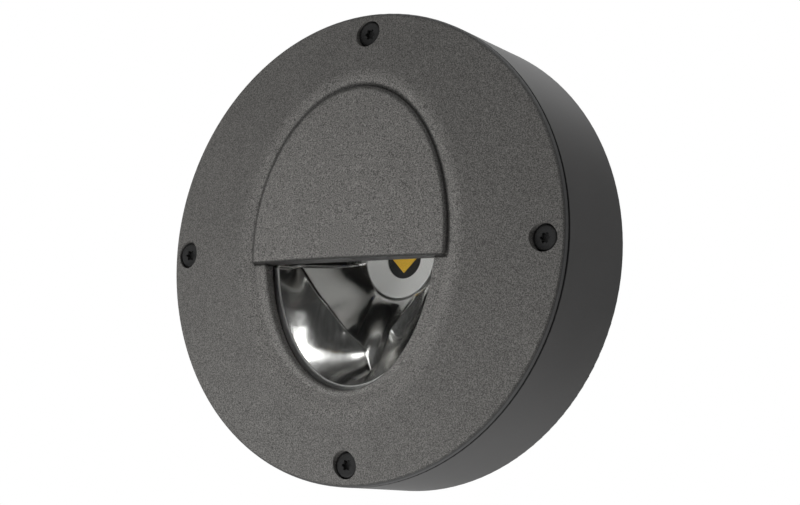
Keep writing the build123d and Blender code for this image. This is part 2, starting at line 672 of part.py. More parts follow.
def driver_case():
    """Open plastic tray of the LED driver."""
    rim = HOUSING_FLOOR + DRIVER_HEIGHT - DRIVER_LID_THICKNESS
    tray = slab(driver_outline(), HOUSING_FLOOR, rim)
    tray -= slab(driver_outline(DRIVER_WALL), HOUSING_FLOOR + DRIVER_WALL, rim)
    return tabbed(tray, driver_tab_places())


def driver_lid():
    """Flat lid of the LED driver."""
    rim = HOUSING_FLOOR + DRIVER_HEIGHT - DRIVER_LID_THICKNESS
    return slab(driver_outline(), rim, rim + DRIVER_LID_THICKNESS)


def driver_board():
    """Driver circuit board with its transformer and capacitor."""
    inset = DRIVER_WALL + DRIVER_FIT
    low = HOUSING_FLOOR + DRIVER_WALL
    board = slab(driver_outline(inset), low, low + DRIVER_BOARD_THICKNESS)
    top = low + DRIVER_BOARD_THICKNESS
    middle = (0.0, DRIVER_CENTRE_Y)
    capacitor = (TRANSFORMER_SIDE / 2 + CAPACITOR_GAP + CAPACITOR_RADIUS, DRIVER_CENTRE_Y)
    board += block(TRANSFORMER_SIDE, TRANSFORMER_SIDE, top, top + TRANSFORMER_HEIGHT, middle)
    return board + rod(CAPACITOR_RADIUS, top, top + CAPACITOR_HEIGHT, capacitor)


def terminal_tab_places():
    """Centres of the terminal block's two screw tabs."""
    reach = (TERMINAL_LENGTH + TAB_WIDTH) / 2
    return [(TERMINAL_X, TERMINAL_Y + side * reach) for side in (-1, 1)]


def terminal_poles():
    """Heights up the wall of the terminal poles."""
    first = TERMINAL_Y - TERMINAL_PITCH * (TERMINAL_POLES - 1) / 2
    return [first + TERMINAL_PITCH * pole for pole in range(TERMINAL_POLES)]


def terminal_block():
    """Mains terminal block with a wire tunnel and a screw well at each pole."""
    top = HOUSING_FLOOR + TERMINAL_HEIGHT
    body = block(TERMINAL_WIDTH, TERMINAL_LENGTH, HOUSING_FLOOR, top, (TERMINAL_X, TERMINAL_Y))
    body = fillet(body.edges().group_by(Axis.Z)[-1], TERMINAL_ROUND)
    body = tabbed(body, terminal_tab_places())
    well_floor = top - TERMINAL_SCREW_SINK - TERMINAL_SCREW_LENGTH
    for pole_y in terminal_poles():
        tunnel = Cylinder(TERMINAL_WIRE_RADIUS, TERMINAL_WIDTH + 2 * CUT_MARGIN, rotation=(0, 90, 0))
        body -= Pos(TERMINAL_X, pole_y, HOUSING_FLOOR + TERMINAL_WIRE_HEIGHT) * tunnel
        body -= rod(TERMINAL_WELL_RADIUS, well_floor, top + CUT_MARGIN, (TERMINAL_X, pole_y))
    return body


def terminal_screws():
    """Clamp screws of the terminal block, one at each pole."""
    top = HOUSING_FLOOR + TERMINAL_HEIGHT - TERMINAL_SCREW_SINK
    screw = rod(TERMINAL_SCREW_RADIUS, top - TERMINAL_SCREW_LENGTH, top)
    screw -= block(2 * TERMINAL_SCREW_RADIUS, SMALL_SLOT_WIDTH, top - SMALL_SLOT_DEPTH, top)
    return [Pos(TERMINAL_X, pole_y, 0) * screw for pole_y in terminal_poles()]


def earth_lug():
    """Ring lug with a crimp barrel, held under the earth screw."""
    low = EARTH_BOSS_HEIGHT
    lug = rod(LUG_RADIUS, low, low + LUG_THICKNESS)
    barrel_x = -LUG_RADIUS - LUG_BARREL_LENGTH / 2
    barrel_z = low + LUG_BARREL_RADIUS
    lug += Pos(barrel_x, 0, barrel_z) * Cylinder(LUG_BARREL_RADIUS, LUG_BARREL_LENGTH, rotation=(0, 90, 0))
    neck = block(2 * LUG_BARREL_RADIUS, 2 * LUG_BARREL_RADIUS, low, low + LUG_THICKNESS)
    lug += Pos(-LUG_RADIUS, 0, 0) * neck
    lug -= rod(SMALL_SCREW_RADIUS + SMALL_HOLE_CLEARANCE, low, low + 2 * LUG_BARREL_RADIUS)
    return Pos(EARTH_X, EARTH_Y, 0) * lug


def lead(points, radius):
    """Insulated lead: a round section along straight runs with rounded corners."""
    path = FilletPolyline(*points, radius=LEAD_BEND)
    start = Plane(origin=path @ 0, z_dir=path % 0)
    return sweep(start * Circle(radius), path=path)


def led_lead(side):
    """Lead from the driver down to a solder pad on the LED board."""
    start_y = DRIVER_CENTRE_Y - DRIVER_WIDTH / 2
    pad_z = BOARD_TOP + LEAD_RADIUS
    x = side * LED_LEAD_X
    points = [
        (x, start_y, LEAD_EXIT_HEIGHT),
        (x, BOARD_RADIUS + LEAD_DROP_RUN, LEAD_EXIT_HEIGHT),
        (x, BOARD_RADIUS, pad_z),
        (x, LED_RING_RADIUS, pad_z),
    ]
    return lead(points, LEAD_RADIUS)


def terminal_entry(pole):
    """Last two points of a lead that enters a terminal pole from the right."""
    z = HOUSING_FLOOR + TERMINAL_WIRE_HEIGHT
    pole_y = terminal_poles()[pole]
    return [(TERMINAL_FACE_X + LEAD_DROP_RUN, pole_y, z), (TERMINAL_FACE_X - LEAD_GRIP, pole_y, z)]


def supply_lead(pole, drop):
    """Lead from the end of the driver to a terminal pole."""
    start_x = -DRIVER_LENGTH / 2
    start_y = DRIVER_CENTRE_Y - drop
    points = [
        (start_x, start_y, LEAD_EXIT_HEIGHT),
        (start_x - LEAD_EXIT_RUN, start_y, LEAD_EXIT_HEIGHT),
        *terminal_entry(pole),
    ]
    return lead(points, LEAD_RADIUS)


def earth_lead():
    """Lead from the earth lug's barrel to the lowest terminal pole."""
    start_x = EARTH_X - LUG_RADIUS - LUG_BARREL_LENGTH
    z = EARTH_BOSS_HEIGHT + LUG_BARREL_RADIUS
    points = [(start_x, EARTH_Y, z), (start_x - LUG_LEAD_RUN, EARTH_Y, z), *terminal_entry(0)]
    return lead(points, EARTH_LEAD_RADIUS)


def entry_spool():
    """Rubber spool that fills a rear cable entry, flanged on both sides of the floor."""
    neck = ENTRY_RADIUS - GROMMET_CLEARANCE
    spool = rod(GROMMET_FLANGE_RADIUS, 0, GROMMET_RECESS_DEPTH)
    spool += rod(neck, GROMMET_RECESS_DEPTH, HOUSING_FLOOR)
    return spool + rod(GROMMET_FLANGE_RADIUS, HOUSING_FLOOR, HOUSING_FLOOR + GROMMET_FLANGE_THICKNESS)


def cable_grommet():
    """Grommet for the supply cable."""
    top = HOUSING_FLOOR + GROMMET_FLANGE_THICKNESS
    return Pos(-ENTRY_X, ENTRY_Y, 0) * (entry_spool() - rod(CABLE_RADIUS, 0, top))


def blanking_plug():
    """Plug for the spare cable entry, dished on the inside."""
    top = HOUSING_FLOOR + GROMMET_FLANGE_THICKNESS
    dish = rod(ENTRY_RADIUS - PLUG_WALL, PLUG_DISC_THICKNESS, top)
    return Pos(ENTRY_X, ENTRY_Y, 0) * (entry_spool() - dish)


def ring_band(mean_radius, width, low, high):
    """Flat ring about the axis."""
    return rod(mean_radius + width / 2, low, high) - rod(mean_radius - width / 2, low, high)


def wall_gasket():
    """Foam ring in the back of the housing that seals against the wall."""
    return ring_band(WALL_GASKET_RADIUS, WALL_GASKET_WIDTH, 0, WALL_GASKET_DEPTH)


def small_fixings():
    """Places and seat heights of the small screws that go into the housing."""
    return {
        "reflector": (reflector_ear_places(), REFLECTOR_EAR_HEIGHT + REFLECTOR_EAR_THICKNESS),
        "holder": (holder_ear_places(), HOLDER_EAR_HEIGHT),
        "driver": (driver_tab_places(), TAB_TOP),
        "terminal": (terminal_tab_places(), TAB_TOP),
        "earth": ([(EARTH_X, EARTH_Y)], EARTH_BOSS_HEIGHT + LUG_THICKNESS),
    }


def housing_cup():
    """Tapered cup with a rounded back edge."""
    outline = make_face(Polyline(
        (0, 0),
        (BACK_RADIUS, 0),
        (BODY_RADIUS, HOUSING_DEPTH),
        (BODY_RADIUS - HOUSING_WALL, HOUSING_DEPTH),
        (INNER_RADIUS, HOUSING_FLOOR),
        (0, HOUSING_FLOOR),
        close=True,
    ))
    outline = fillet(outline.vertices().group_by(Axis.Y)[-1].sort_by(Axis.X)[-1], SEAM_EDGE_ROUND)
    outline = fillet(outline.vertices().group_by(Axis.Y)[0].sort_by(Axis.X)[-1], BACK_EDGE_ROUND)
    return revolve(Plane.XZ * outline, Axis.Z)


def housing():
    """Cast cup with screw bosses, LED pedestal, posts, feet and rear openings."""
    cup = housing_cup()
    for place in SCREW_PLACES.values():
        cup += rod(HOUSING_BOSS_RADIUS, HOUSING_FLOOR, HOUSING_BOSS_TOP, place)
        cup -= rod(HOUSING_BOSS_RADIUS, HOUSING_BOSS_TOP, COVER_BACK, place)
        cup -= rod(SCREW_RADIUS + THREAD_CLEARANCE, SCREW_TIP - SCREW_TIP_ROOM, COVER_BACK, place)
    cup += rod(PEDESTAL_RADIUS, HOUSING_FLOOR, PEDESTAL_HEIGHT)
    cup += rod(EARTH_BOSS_RADIUS, HOUSING_FLOOR, EARTH_BOSS_HEIGHT, (EARTH_X, EARTH_Y))
    for place in reflector_ear_places():
        cup += rod(POST_RADIUS, HOUSING_FLOOR, REFLECTOR_EAR_HEIGHT, place)
    for place in holder_ear_places():
        cup += rod(POST_RADIUS, HOUSING_FLOOR, PEDESTAL_HEIGHT, place)
    for place in driver_tab_places() + terminal_tab_places():
        cup += rod(POST_RADIUS, HOUSING_FLOOR, FOOT_HEIGHT, place)
    tap = SMALL_SCREW_RADIUS + SMALL_THREAD_CLEARANCE
    for places, seat in small_fixings().values():
        for place in places:
            cup -= rod(tap, seat - SMALL_SCREW_LENGTH - SMALL_TIP_ROOM, seat, place)
    for side in (-1, 1):
        fixing = (side * FIXING_X, FIXING_Y)
        entry = (side * ENTRY_X, ENTRY_Y)
        cup += rod(FIXING_BOSS_RADIUS, HOUSING_FLOOR, FIXING_BOSS_HEIGHT, fixing)
        cup -= rod(FIXING_HOLE_RADIUS, 0, FIXING_BOSS_HEIGHT, fixing)
        cup -= rod(ENTRY_RADIUS, 0, HOUSING_FLOOR, entry)
        cup -= rod(GROMMET_FLANGE_RADIUS + GROMMET_CLEARANCE, 0, GROMMET_RECESS_DEPTH, entry)
    groove = WALL_GASKET_WIDTH + 2 * WALL_GASKET_CLEARANCE
    return cup - ring_band(WALL_GASKET_RADIUS, groove, 0, WALL_GASKET_DEPTH)


def inner_screws(name):
    """The set of small screws of one fixing."""
    places, seat = small_fixings()[name]
    return screws_at(places, seat)


def pieces():
    """Every piece by name; a set of like fasteners is a list of solids."""
    parts = {
        "housing": housing(),
        "wall_gasket": wall_gasket(),
        "cable_grommet": cable_grommet(),
        "blanking_plug": blanking_plug(),
        "cover_seal": cover_seal(),
        "front_cover": front_cover(),
        "glass_gasket": glass_gasket(),
        "window_glass": window_glass(),
        "glass_retainer": glass_retainer(),
        "glass_retainer_screws": retainer_screws(),
        "reflector": reflector(),
        "reflector_screws": inner_screws("reflector"),
        "led_holder": led_holder(),
        "led_holder_screws": inner_screws("holder"),
        "led_base": led_base(),
        "led_phosphor": led_phosphor(),
        "led_circuit_board": rod(BOARD_RADIUS, PAD_TOP, BOARD_TOP),
        "thermal_pad": rod(THERMAL_PAD_RADIUS, PEDESTAL_HEIGHT, PAD_TOP),
        "driver_case": driver_case(),
        "driver_lid": driver_lid(),
        "driver_board": driver_board(),
        "driver_screws": inner_screws("driver"),
        "terminal_block": terminal_block(),
        "terminal_clamp_screws": terminal_screws(),
        "terminal_fixing_screws": inner_screws("terminal"),
        "earth_lug": earth_lug(),
        "earth_screw": inner_screws("earth"),
        "led_lead_plus": led_lead(1),
        "led_lead_minus": led_lead(-1),
        "live_lead": supply_lead(2, LIVE_LEAD_DROP),
        "neutral_lead": supply_lead(1, NEUTRAL_LEAD_DROP),
        "earth_lead": earth_lead(),
    }
    for name, place in SCREW_PLACES.items():
        parts["cover_screw_" + name] = cover_screw(place)
        parts["screw_seal_" + name] = screw_seal(place)
    return parts


def stand_up(piece):
    """Turn a piece from the wall-plane working frame to z up, front towards -Y."""
    solids = piece if isinstance(piece, list) else [piece]
    turned_up = [Rot(90, 0, 0) * solid for solid in solids]
    return turned_up[0] if len(turned_up) == 1 else Compound(children=turned_up)


os.makedirs("parts", exist_ok=True)
for node, piece in pieces().items():
    export_step(stand_up(piece), "parts/" + node + ".step")
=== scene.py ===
"""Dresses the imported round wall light: finishes, reflector, studio and camera."""

import json
import logging
from dataclasses import dataclass, field
from enum import Enum
from math import asin, cos, pi, radians, sin

import bmesh
import bpy
from mathutils import Matrix, Vector


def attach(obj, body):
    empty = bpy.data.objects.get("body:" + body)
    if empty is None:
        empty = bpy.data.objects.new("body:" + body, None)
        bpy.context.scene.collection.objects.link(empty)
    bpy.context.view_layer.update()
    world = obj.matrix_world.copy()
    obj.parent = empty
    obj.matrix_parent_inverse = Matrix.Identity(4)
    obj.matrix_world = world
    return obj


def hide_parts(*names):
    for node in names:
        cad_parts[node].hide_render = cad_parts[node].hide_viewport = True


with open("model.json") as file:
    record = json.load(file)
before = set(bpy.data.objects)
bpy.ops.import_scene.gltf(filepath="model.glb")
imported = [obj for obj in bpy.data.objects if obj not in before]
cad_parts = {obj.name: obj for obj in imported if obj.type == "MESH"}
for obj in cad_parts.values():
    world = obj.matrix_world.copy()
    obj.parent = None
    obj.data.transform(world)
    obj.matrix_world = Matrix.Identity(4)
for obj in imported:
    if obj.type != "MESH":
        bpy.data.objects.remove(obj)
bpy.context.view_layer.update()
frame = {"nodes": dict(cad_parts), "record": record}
LOG = logging.getLogger("wall_light")
MM = 0.001
WHOLE = (0.0, 1.0)
Colour = tuple[float, float, float]
Point = tuple[float, float, float]
Span = tuple[float, float]
Sheet = list[list[Vector]]
Socket = bpy.types.NodeSocket


class Graph:
    """Places and joins the nodes of one node tree."""

    def __init__(self, tree: bpy.types.NodeTree) -> None:
        """Keeps the tree, and its shader if it has one.

        Args:
            tree: the node tree to work on.
        """
        self.tree = tree
        self.shader = tree.nodes.get("Principled BSDF")

    def feed(self, socket: Socket, value: object) -> None:
        """Links a socket to another one, or sets its plain value.

        Args:
            socket: the input to fill.
            value: an output socket, a number, or a colour of three or four numbers.
        """
        if isinstance(value, Socket):
            self.tree.links.new(value, socket)
        elif socket.type == "RGBA" and len(value) == 3:
            socket.default_value = (*value, 1.0)
        else:
            socket.default_value = value

    def add(self, kind: str, inputs: dict[str, object], **settings: object) -> bpy.types.Node:
        """Adds a node.

        Args:
            kind: Blender's name for the node type.
            inputs: what goes into each named input.
            settings: the node's own options.

        Returns:
            The new node.
        """
        node = self.tree.nodes.new(kind)
        for name, value in settings.items():
            setattr(node, name, value)
        for name, value in inputs.items():
            self.feed(node.inputs[name], value)
        return node

    def place(self) -> Socket:
        """Gives the point on the piece, in metres."""
        return self.add("ShaderNodeTexCoord", {}).outputs["Object"]

    def math(self, operation: str, first: object, second: object = 0.0) -> Socket:
        """Joins two values by a sum, product or the like.

        Args:
            operation: Blender's name for the operation.
            first: a socket or number.
            second: a socket or number.

        Returns:
            The result's socket.
        """
        node = self.tree.nodes.new("ShaderNodeMath")
        node.operation = operation
        self.feed(node.inputs[0], first)
        self.feed(node.inputs[1], second)
        return node.outputs[0]

    def spread(
        self, value: object, source: tuple[object, object], low: object = 0.0, high: object = 1.0
    ) -> Socket:
        """Maps a value from one range to another.

        Args:
            value: the socket to map.
            source: the range it comes from.
            low: what the start of that range becomes.
            high: what its end becomes.

        Returns:
            The mapped value's socket.
        """
        start, end = source
        inputs = {"Value": value, "From Min": start, "From Max": end, "To Min": low, "To Max": high}
        return self.add("ShaderNodeMapRange", inputs).outputs["Result"]

    def blend(self, factor: object, first: object, second: object) -> Socket:
        """Blends two colours.

        Args:
            factor: how much of the second colour.
            first: a colour or its socket.
            second: a colour or its socket.

        Returns:
            The blended colour's socket.
        """
        node = self.tree.nodes.new("ShaderNodeMix")
        node.data_type = "RGBA"
        self.feed(node.inputs[0], factor)
        self.feed(node.inputs[6], first)
        self.feed(node.inputs[7], second)
        return node.outputs[2]

    def shade(self, colour: object, tone: Socket) -> Socket:
        """Multiplies a colour by a tone.

        Args:
            colour: a colour or its socket.
            tone: how much of the colour is left.

        Returns:
            The shaded colour's socket.
        """
        shaded = self.blend(1.0, colour, tone)
        shaded.node.blend_type = "MULTIPLY"
        return shaded


@dataclass
class Effects:
    """The shared surface effects, each one a node group that is built once.

    Args:
        noise_range: the values that most of a broad noise keeps to.
        fleck_range: the same for the noise of the flecks.
        fleck_share: how many flecks go on one grain's length.
        fleck_dark: how far the darkest fleck drops for each unit of speckle.
        fleck_bright: how far the brightest one rises.
        line_stretch: how the noise is stretched into lines, along each axis.
        line_core: the share of a painted shade line's width that is darkest.
        grain: the group for the grain of a coat.
        mottle: the group for broad patches.
        lines: the group for the lines in metal.
        joint: the group for a line of painted shade.
    """

    noise_range: Span = (0.3, 0.7)
    fleck_range: Span = (0.34, 0.7)
    fleck_share: float = 1.3
    fleck_dark: float = 0.7
    fleck_bright: float = 1.4
    line_stretch: Point = (1.0, 0.04, 0.3)
    line_core: float = 0.5
    grain: bpy.types.NodeTree = field(init=False)
    mottle: bpy.types.NodeTree = field(init=False)
    lines: bpy.types.NodeTree = field(init=False)
    joint: bpy.types.NodeTree = field(init=False)

    def __post_init__(self) -> None:
        """Builds every group."""
        self.grain = self.powder_grain()
        self.mottle = self.soft_mottle()
        self.lines = self.draw_lines()
        self.joint = self.painted_shade_line()

    def start(
        self, name: str, inputs: dict[str, str], outputs: dict[str, str]
    ) -> tuple[Graph, dict[str, Socket], dict[str, Socket]]:
        """Makes an empty group with its sockets.

        Args:
            name: the group's name.
            inputs: each input's name and whether it is a Float or a Color.
            outputs: the same for the outputs.

        Returns:
            The group's graph, its input sockets and its output sockets.
        """
        tree = bpy.data.node_groups.new(name, "ShaderNodeTree")
        for way, sockets in (("INPUT", inputs), ("OUTPUT", outputs)):
            for label, kind in sockets.items():
                tree.interface.new_socket(label, in_out=way, socket_type="NodeSocket" + kind)
        given = tree.nodes.new("NodeGroupInput").outputs
        wanted = tree.nodes.new("NodeGroupOutput").inputs
        return Graph(tree), {n: given[n] for n in inputs}, {n: wanted[n] for n in outputs}

    def powder_grain(self) -> bpy.types.NodeTree:
        """Makes the pebbled grain of a sprayed coat.

        Returns:
            A group that speckles a colour and gives the grain's height.
        """
        wants = {"Colour": "Color", "Grains per metre": "Float", "Speckle": "Float"}
        gives = {"Colour": "Color", "Height": "Float"}
        graph, given, wanted = self.start("powder_grain", wants, gives)
        place, grains = graph.place(), given["Grains per metre"]
        pebble = {"Vector": place, "Scale": grains, "Detail": 2.0, "Roughness": 0.65}
        height = graph.add("ShaderNodeTexNoise", pebble).outputs["Fac"]
        fine = graph.math("MULTIPLY", grains, self.fleck_share)
        speck = {"Vector": place, "Scale": fine, "Detail": 1.0}
        fleck = graph.add("ShaderNodeTexNoise", speck).outputs["Fac"]
        drop = graph.math("MULTIPLY", given["Speckle"], self.fleck_dark)
        gain = graph.math("MULTIPLY", given["Speckle"], self.fleck_bright)
        darkest, brightest = graph.math("SUBTRACT", 1.0, drop), graph.math("ADD", 1.0, gain)
        tone = graph.spread(fleck, self.fleck_range, darkest, brightest)
        graph.feed(wanted["Colour"], graph.shade(given["Colour"], tone))
        graph.feed(wanted["Height"], height)
        return graph.tree

    def uneven(self, graph: Graph, noise: Socket, amount: Socket) -> Socket:
        """Turns a noise into a tone that lies round 1.

        Args:
            graph: the group's graph.
            noise: the noise.
            amount: how far the tone strays.

        Returns:
            The tone's socket.
        """
        low, high = graph.math("SUBTRACT", 1.0, amount), graph.math("ADD", 1.0, amount)
        return graph.spread(noise, self.noise_range, low, high)

    def soft_mottle(self) -> bpy.types.NodeTree:
        """Makes the broad unevenness that handling and dust leave.

        Returns:
            A group that varies a colour and a roughness softly.
        """
        wants = {"Colour": "Color", "Roughness": "Float"}
        sizes = {"Patches per metre": "Float", "Amount": "Float"}
        graph, given, wanted = self.start("soft_mottle", wants | sizes, wants)
        cloud = {"Vector": graph.place(), "Scale": given["Patches per metre"]}
        cloud |= {"Detail": 4.0, "Roughness": 0.55}
        patch = graph.add("ShaderNodeTexNoise", cloud).outputs["Fac"]
        tone = self.uneven(graph, patch, given["Amount"])
        graph.feed(wanted["Colour"], graph.shade(given["Colour"], tone))
        graph.feed(wanted["Roughness"], graph.math("MULTIPLY", given["Roughness"], tone))
        return graph.tree

    def draw_lines(self) -> bpy.types.NodeTree:
        """Makes the fine lines that rolling, drawing or polishing leave in metal.

        Returns:
            A group with the lines' height and a roughness that follows them.
        """
        wants = {"Roughness": "Float", "Lines per metre": "Float", "Amount": "Float"}
        gives = {"Roughness": "Float", "Height": "Float"}
        graph, given, wanted = self.start("draw_lines", wants, gives)
        pull = {"Vector": graph.place(), "Scale": self.line_stretch}
        line = {"Vector": graph.add("ShaderNodeMapping", pull).outputs["Vector"]}
        line |= {"Scale": given["Lines per metre"], "Detail": 3.0, "Roughness": 0.6}
        height = graph.add("ShaderNodeTexNoise", line).outputs["Fac"]
        tone = self.uneven(graph, height, given["Amount"])
        graph.feed(wanted["Roughness"], graph.math("MULTIPLY", given["Roughness"], tone))
        graph.feed(wanted["Height"], height)
        return graph.tree

    def painted_shade_line(self) -> bpy.types.NodeTree:
        """Makes a thin line of painted shade at one height over the wall, such as the shade in a
        seam.

        Returns:
            A group that darkens a colour near that height over the wall.
        """
        wants = {"Colour": "Color", "Edge": "Float", "Reach": "Float", "Left": "Float"}
        graph, given, wanted = self.start("painted_shade_line", wants, {"Colour": "Color"})
        depth = graph.add("ShaderNodeSeparateXYZ", {"Vector": graph.place()}).outputs["Y"]
        away = graph.math("ABSOLUTE", graph.math("ADD", depth, given["Edge"]))
        core = graph.math("MULTIPLY", given["Reach"], self.line_core)
        # painted shade: the colour darkens towards the given height over the wall
        tone = graph.spread(away, (core, given["Reach"]), given["Left"])
        graph.feed(wanted["Colour"], graph.shade(given["Colour"], tone))
        return graph.tree


class Texture(Enum):
    """The kind of relief that a finish has."""

    PEBBLED = "pebbled"
    LINED = "lined"


@dataclass(frozen=True)
class Finish:
    """One surface finish, with its sizes in millimetres.

    Args:
        name: the record's material slot.
        colour: its base colour.
        roughness: how matte it is.
        metallic: 1 for bare metal.
        texture: the kind of relief.
        grain: the size of one grain, or of one line's width.
        relief: the height of the grain.
        speckle: how far single grains differ in tone.
        patch: the size of the broad patches.
        mottle: how far those patches differ.
    """

    name: str
    colour: Colour
    roughness: float
    metallic: float = 0.0
    texture: Texture = Texture.PEBBLED
    grain: float = 0.5
    relief: float = 0.01
    speckle: float = 0.04
    patch: float = 20.0
    mottle: float = 0.05

    def build(self, effects: Effects) -> bpy.types.Material:
        """Makes the material.

        Args:
            effects: the shared effects.

        Returns:
            The finished material.
        """
        material = bpy.data.materials.new(self.name + "_finish")
        material.use_nodes = True
        graph = Graph(material.node_tree)
        graph.shader.inputs["Metallic"].default_value = self.metallic
        self.paint(graph, effects)
        return material

    def paint(self, graph: Graph, effects: Effects) -> None:
        """Gives the surface its colour, gloss and relief.

        Args:
            graph: the material's graph.
            effects: the shared effects.
        """
        self.dress(graph, effects, self.colour, self.speckle)

    def cloud(self, graph: Graph, effects: Effects, colour: object) -> tuple[Socket, Socket]:
        """Lays the broad patches over a colour and the roughness.

        Args:
            graph: the material's graph.
            effects: the shared effects.
            colour: the base colour or its socket.

        Returns:
            The colour's and the roughness's socket.
        """
        inputs = {"Colour": colour, "Roughness": self.roughness}
        inputs |= {"Patches per metre": 1.0 / (self.patch * MM), "Amount": self.mottle}
        made = graph.add("ShaderNodeGroup", inputs, node_tree=effects.mottle).outputs
        return made["Colour"], made["Roughness"]

    def dress(self, graph: Graph, effects: Effects, colour: object, speckle: object) -> None:
        """Adds the mottle, the grain and the relief.

        Args:
            graph: the material's graph.
            effects: the shared effects.
            colour: the base colour or its socket.
            speckle: the speckle's strength or its socket.
        """
        tint, rough = self.cloud(graph, effects, colour)
        grains = 1.0 / (self.grain * MM)
        if self.texture is Texture.LINED:
            fill = {"Roughness": rough, "Lines per metre": grains, "Amount": speckle}
            made = graph.add("ShaderNodeGroup", fill, node_tree=effects.lines).outputs
            rough = made["Roughness"]
        else:
            fill = {"Colour": tint, "Grains per metre": grains, "Speckle": speckle}
            made = graph.add("ShaderNodeGroup", fill, node_tree=effects.grain).outputs
            tint = made["Colour"]
        bump = {"Height": made["Height"], "Strength": 1.0, "Distance": self.relief * MM}
        normal = graph.add("ShaderNodeBump", bump).outputs["Normal"]
        graph.feed(graph.shader.inputs["Normal"], normal)
        graph.feed(graph.shader.inputs["Base Color"], tint)
        graph.feed(graph.shader.inputs["Roughness"], rough)


@dataclass(frozen=True)
class SeamShadedCoat(Finish):
    """A coat with a line of painted shade along the joint between the housing and the cover.

    Args:
        edge: the height over the wall at which the coated piece ends.
        seam_shade_left: how much of the colour the painted shade leaves at the joint.
        reach: how wide a line of painted shade is.
    """

    edge: float = 37.0
    seam_shade_left: float = 0.05
    reach: float = 0.45

    def line(self, graph: Graph, effects: Effects, height: float, left: float) -> None:
        """Draws one line of painted shade over the coat.

        Args:
            graph: the material's graph, whose shader has its colour already.
            effects: the shared effects.
            height: the line's height over the wall.
            left: how much of the colour is left in it.
        """
        colour = graph.shader.inputs["Base Color"].links[0].from_socket
        # painted shade: a thin dark line at this height stands in for shade
        fill = {"Colour": colour, "Edge": height * MM, "Reach": self.reach * MM, "Left": left}
        group = graph.add("ShaderNodeGroup", fill, node_tree=effects.joint)
        graph.feed(graph.shader.inputs["Base Color"], group.outputs["Colour"])

    def paint(self, graph: Graph, effects: Effects) -> None:
        """Gives the coat its grain and the painted shade at its edge.

        Args:
            graph: the material's graph.
            effects: the shared effects.
        """
        super().paint(graph, effects)
        # painted shade along the seam where the housing meets the cover
        self.line(graph, effects, self.edge, self.seam_shade_left)


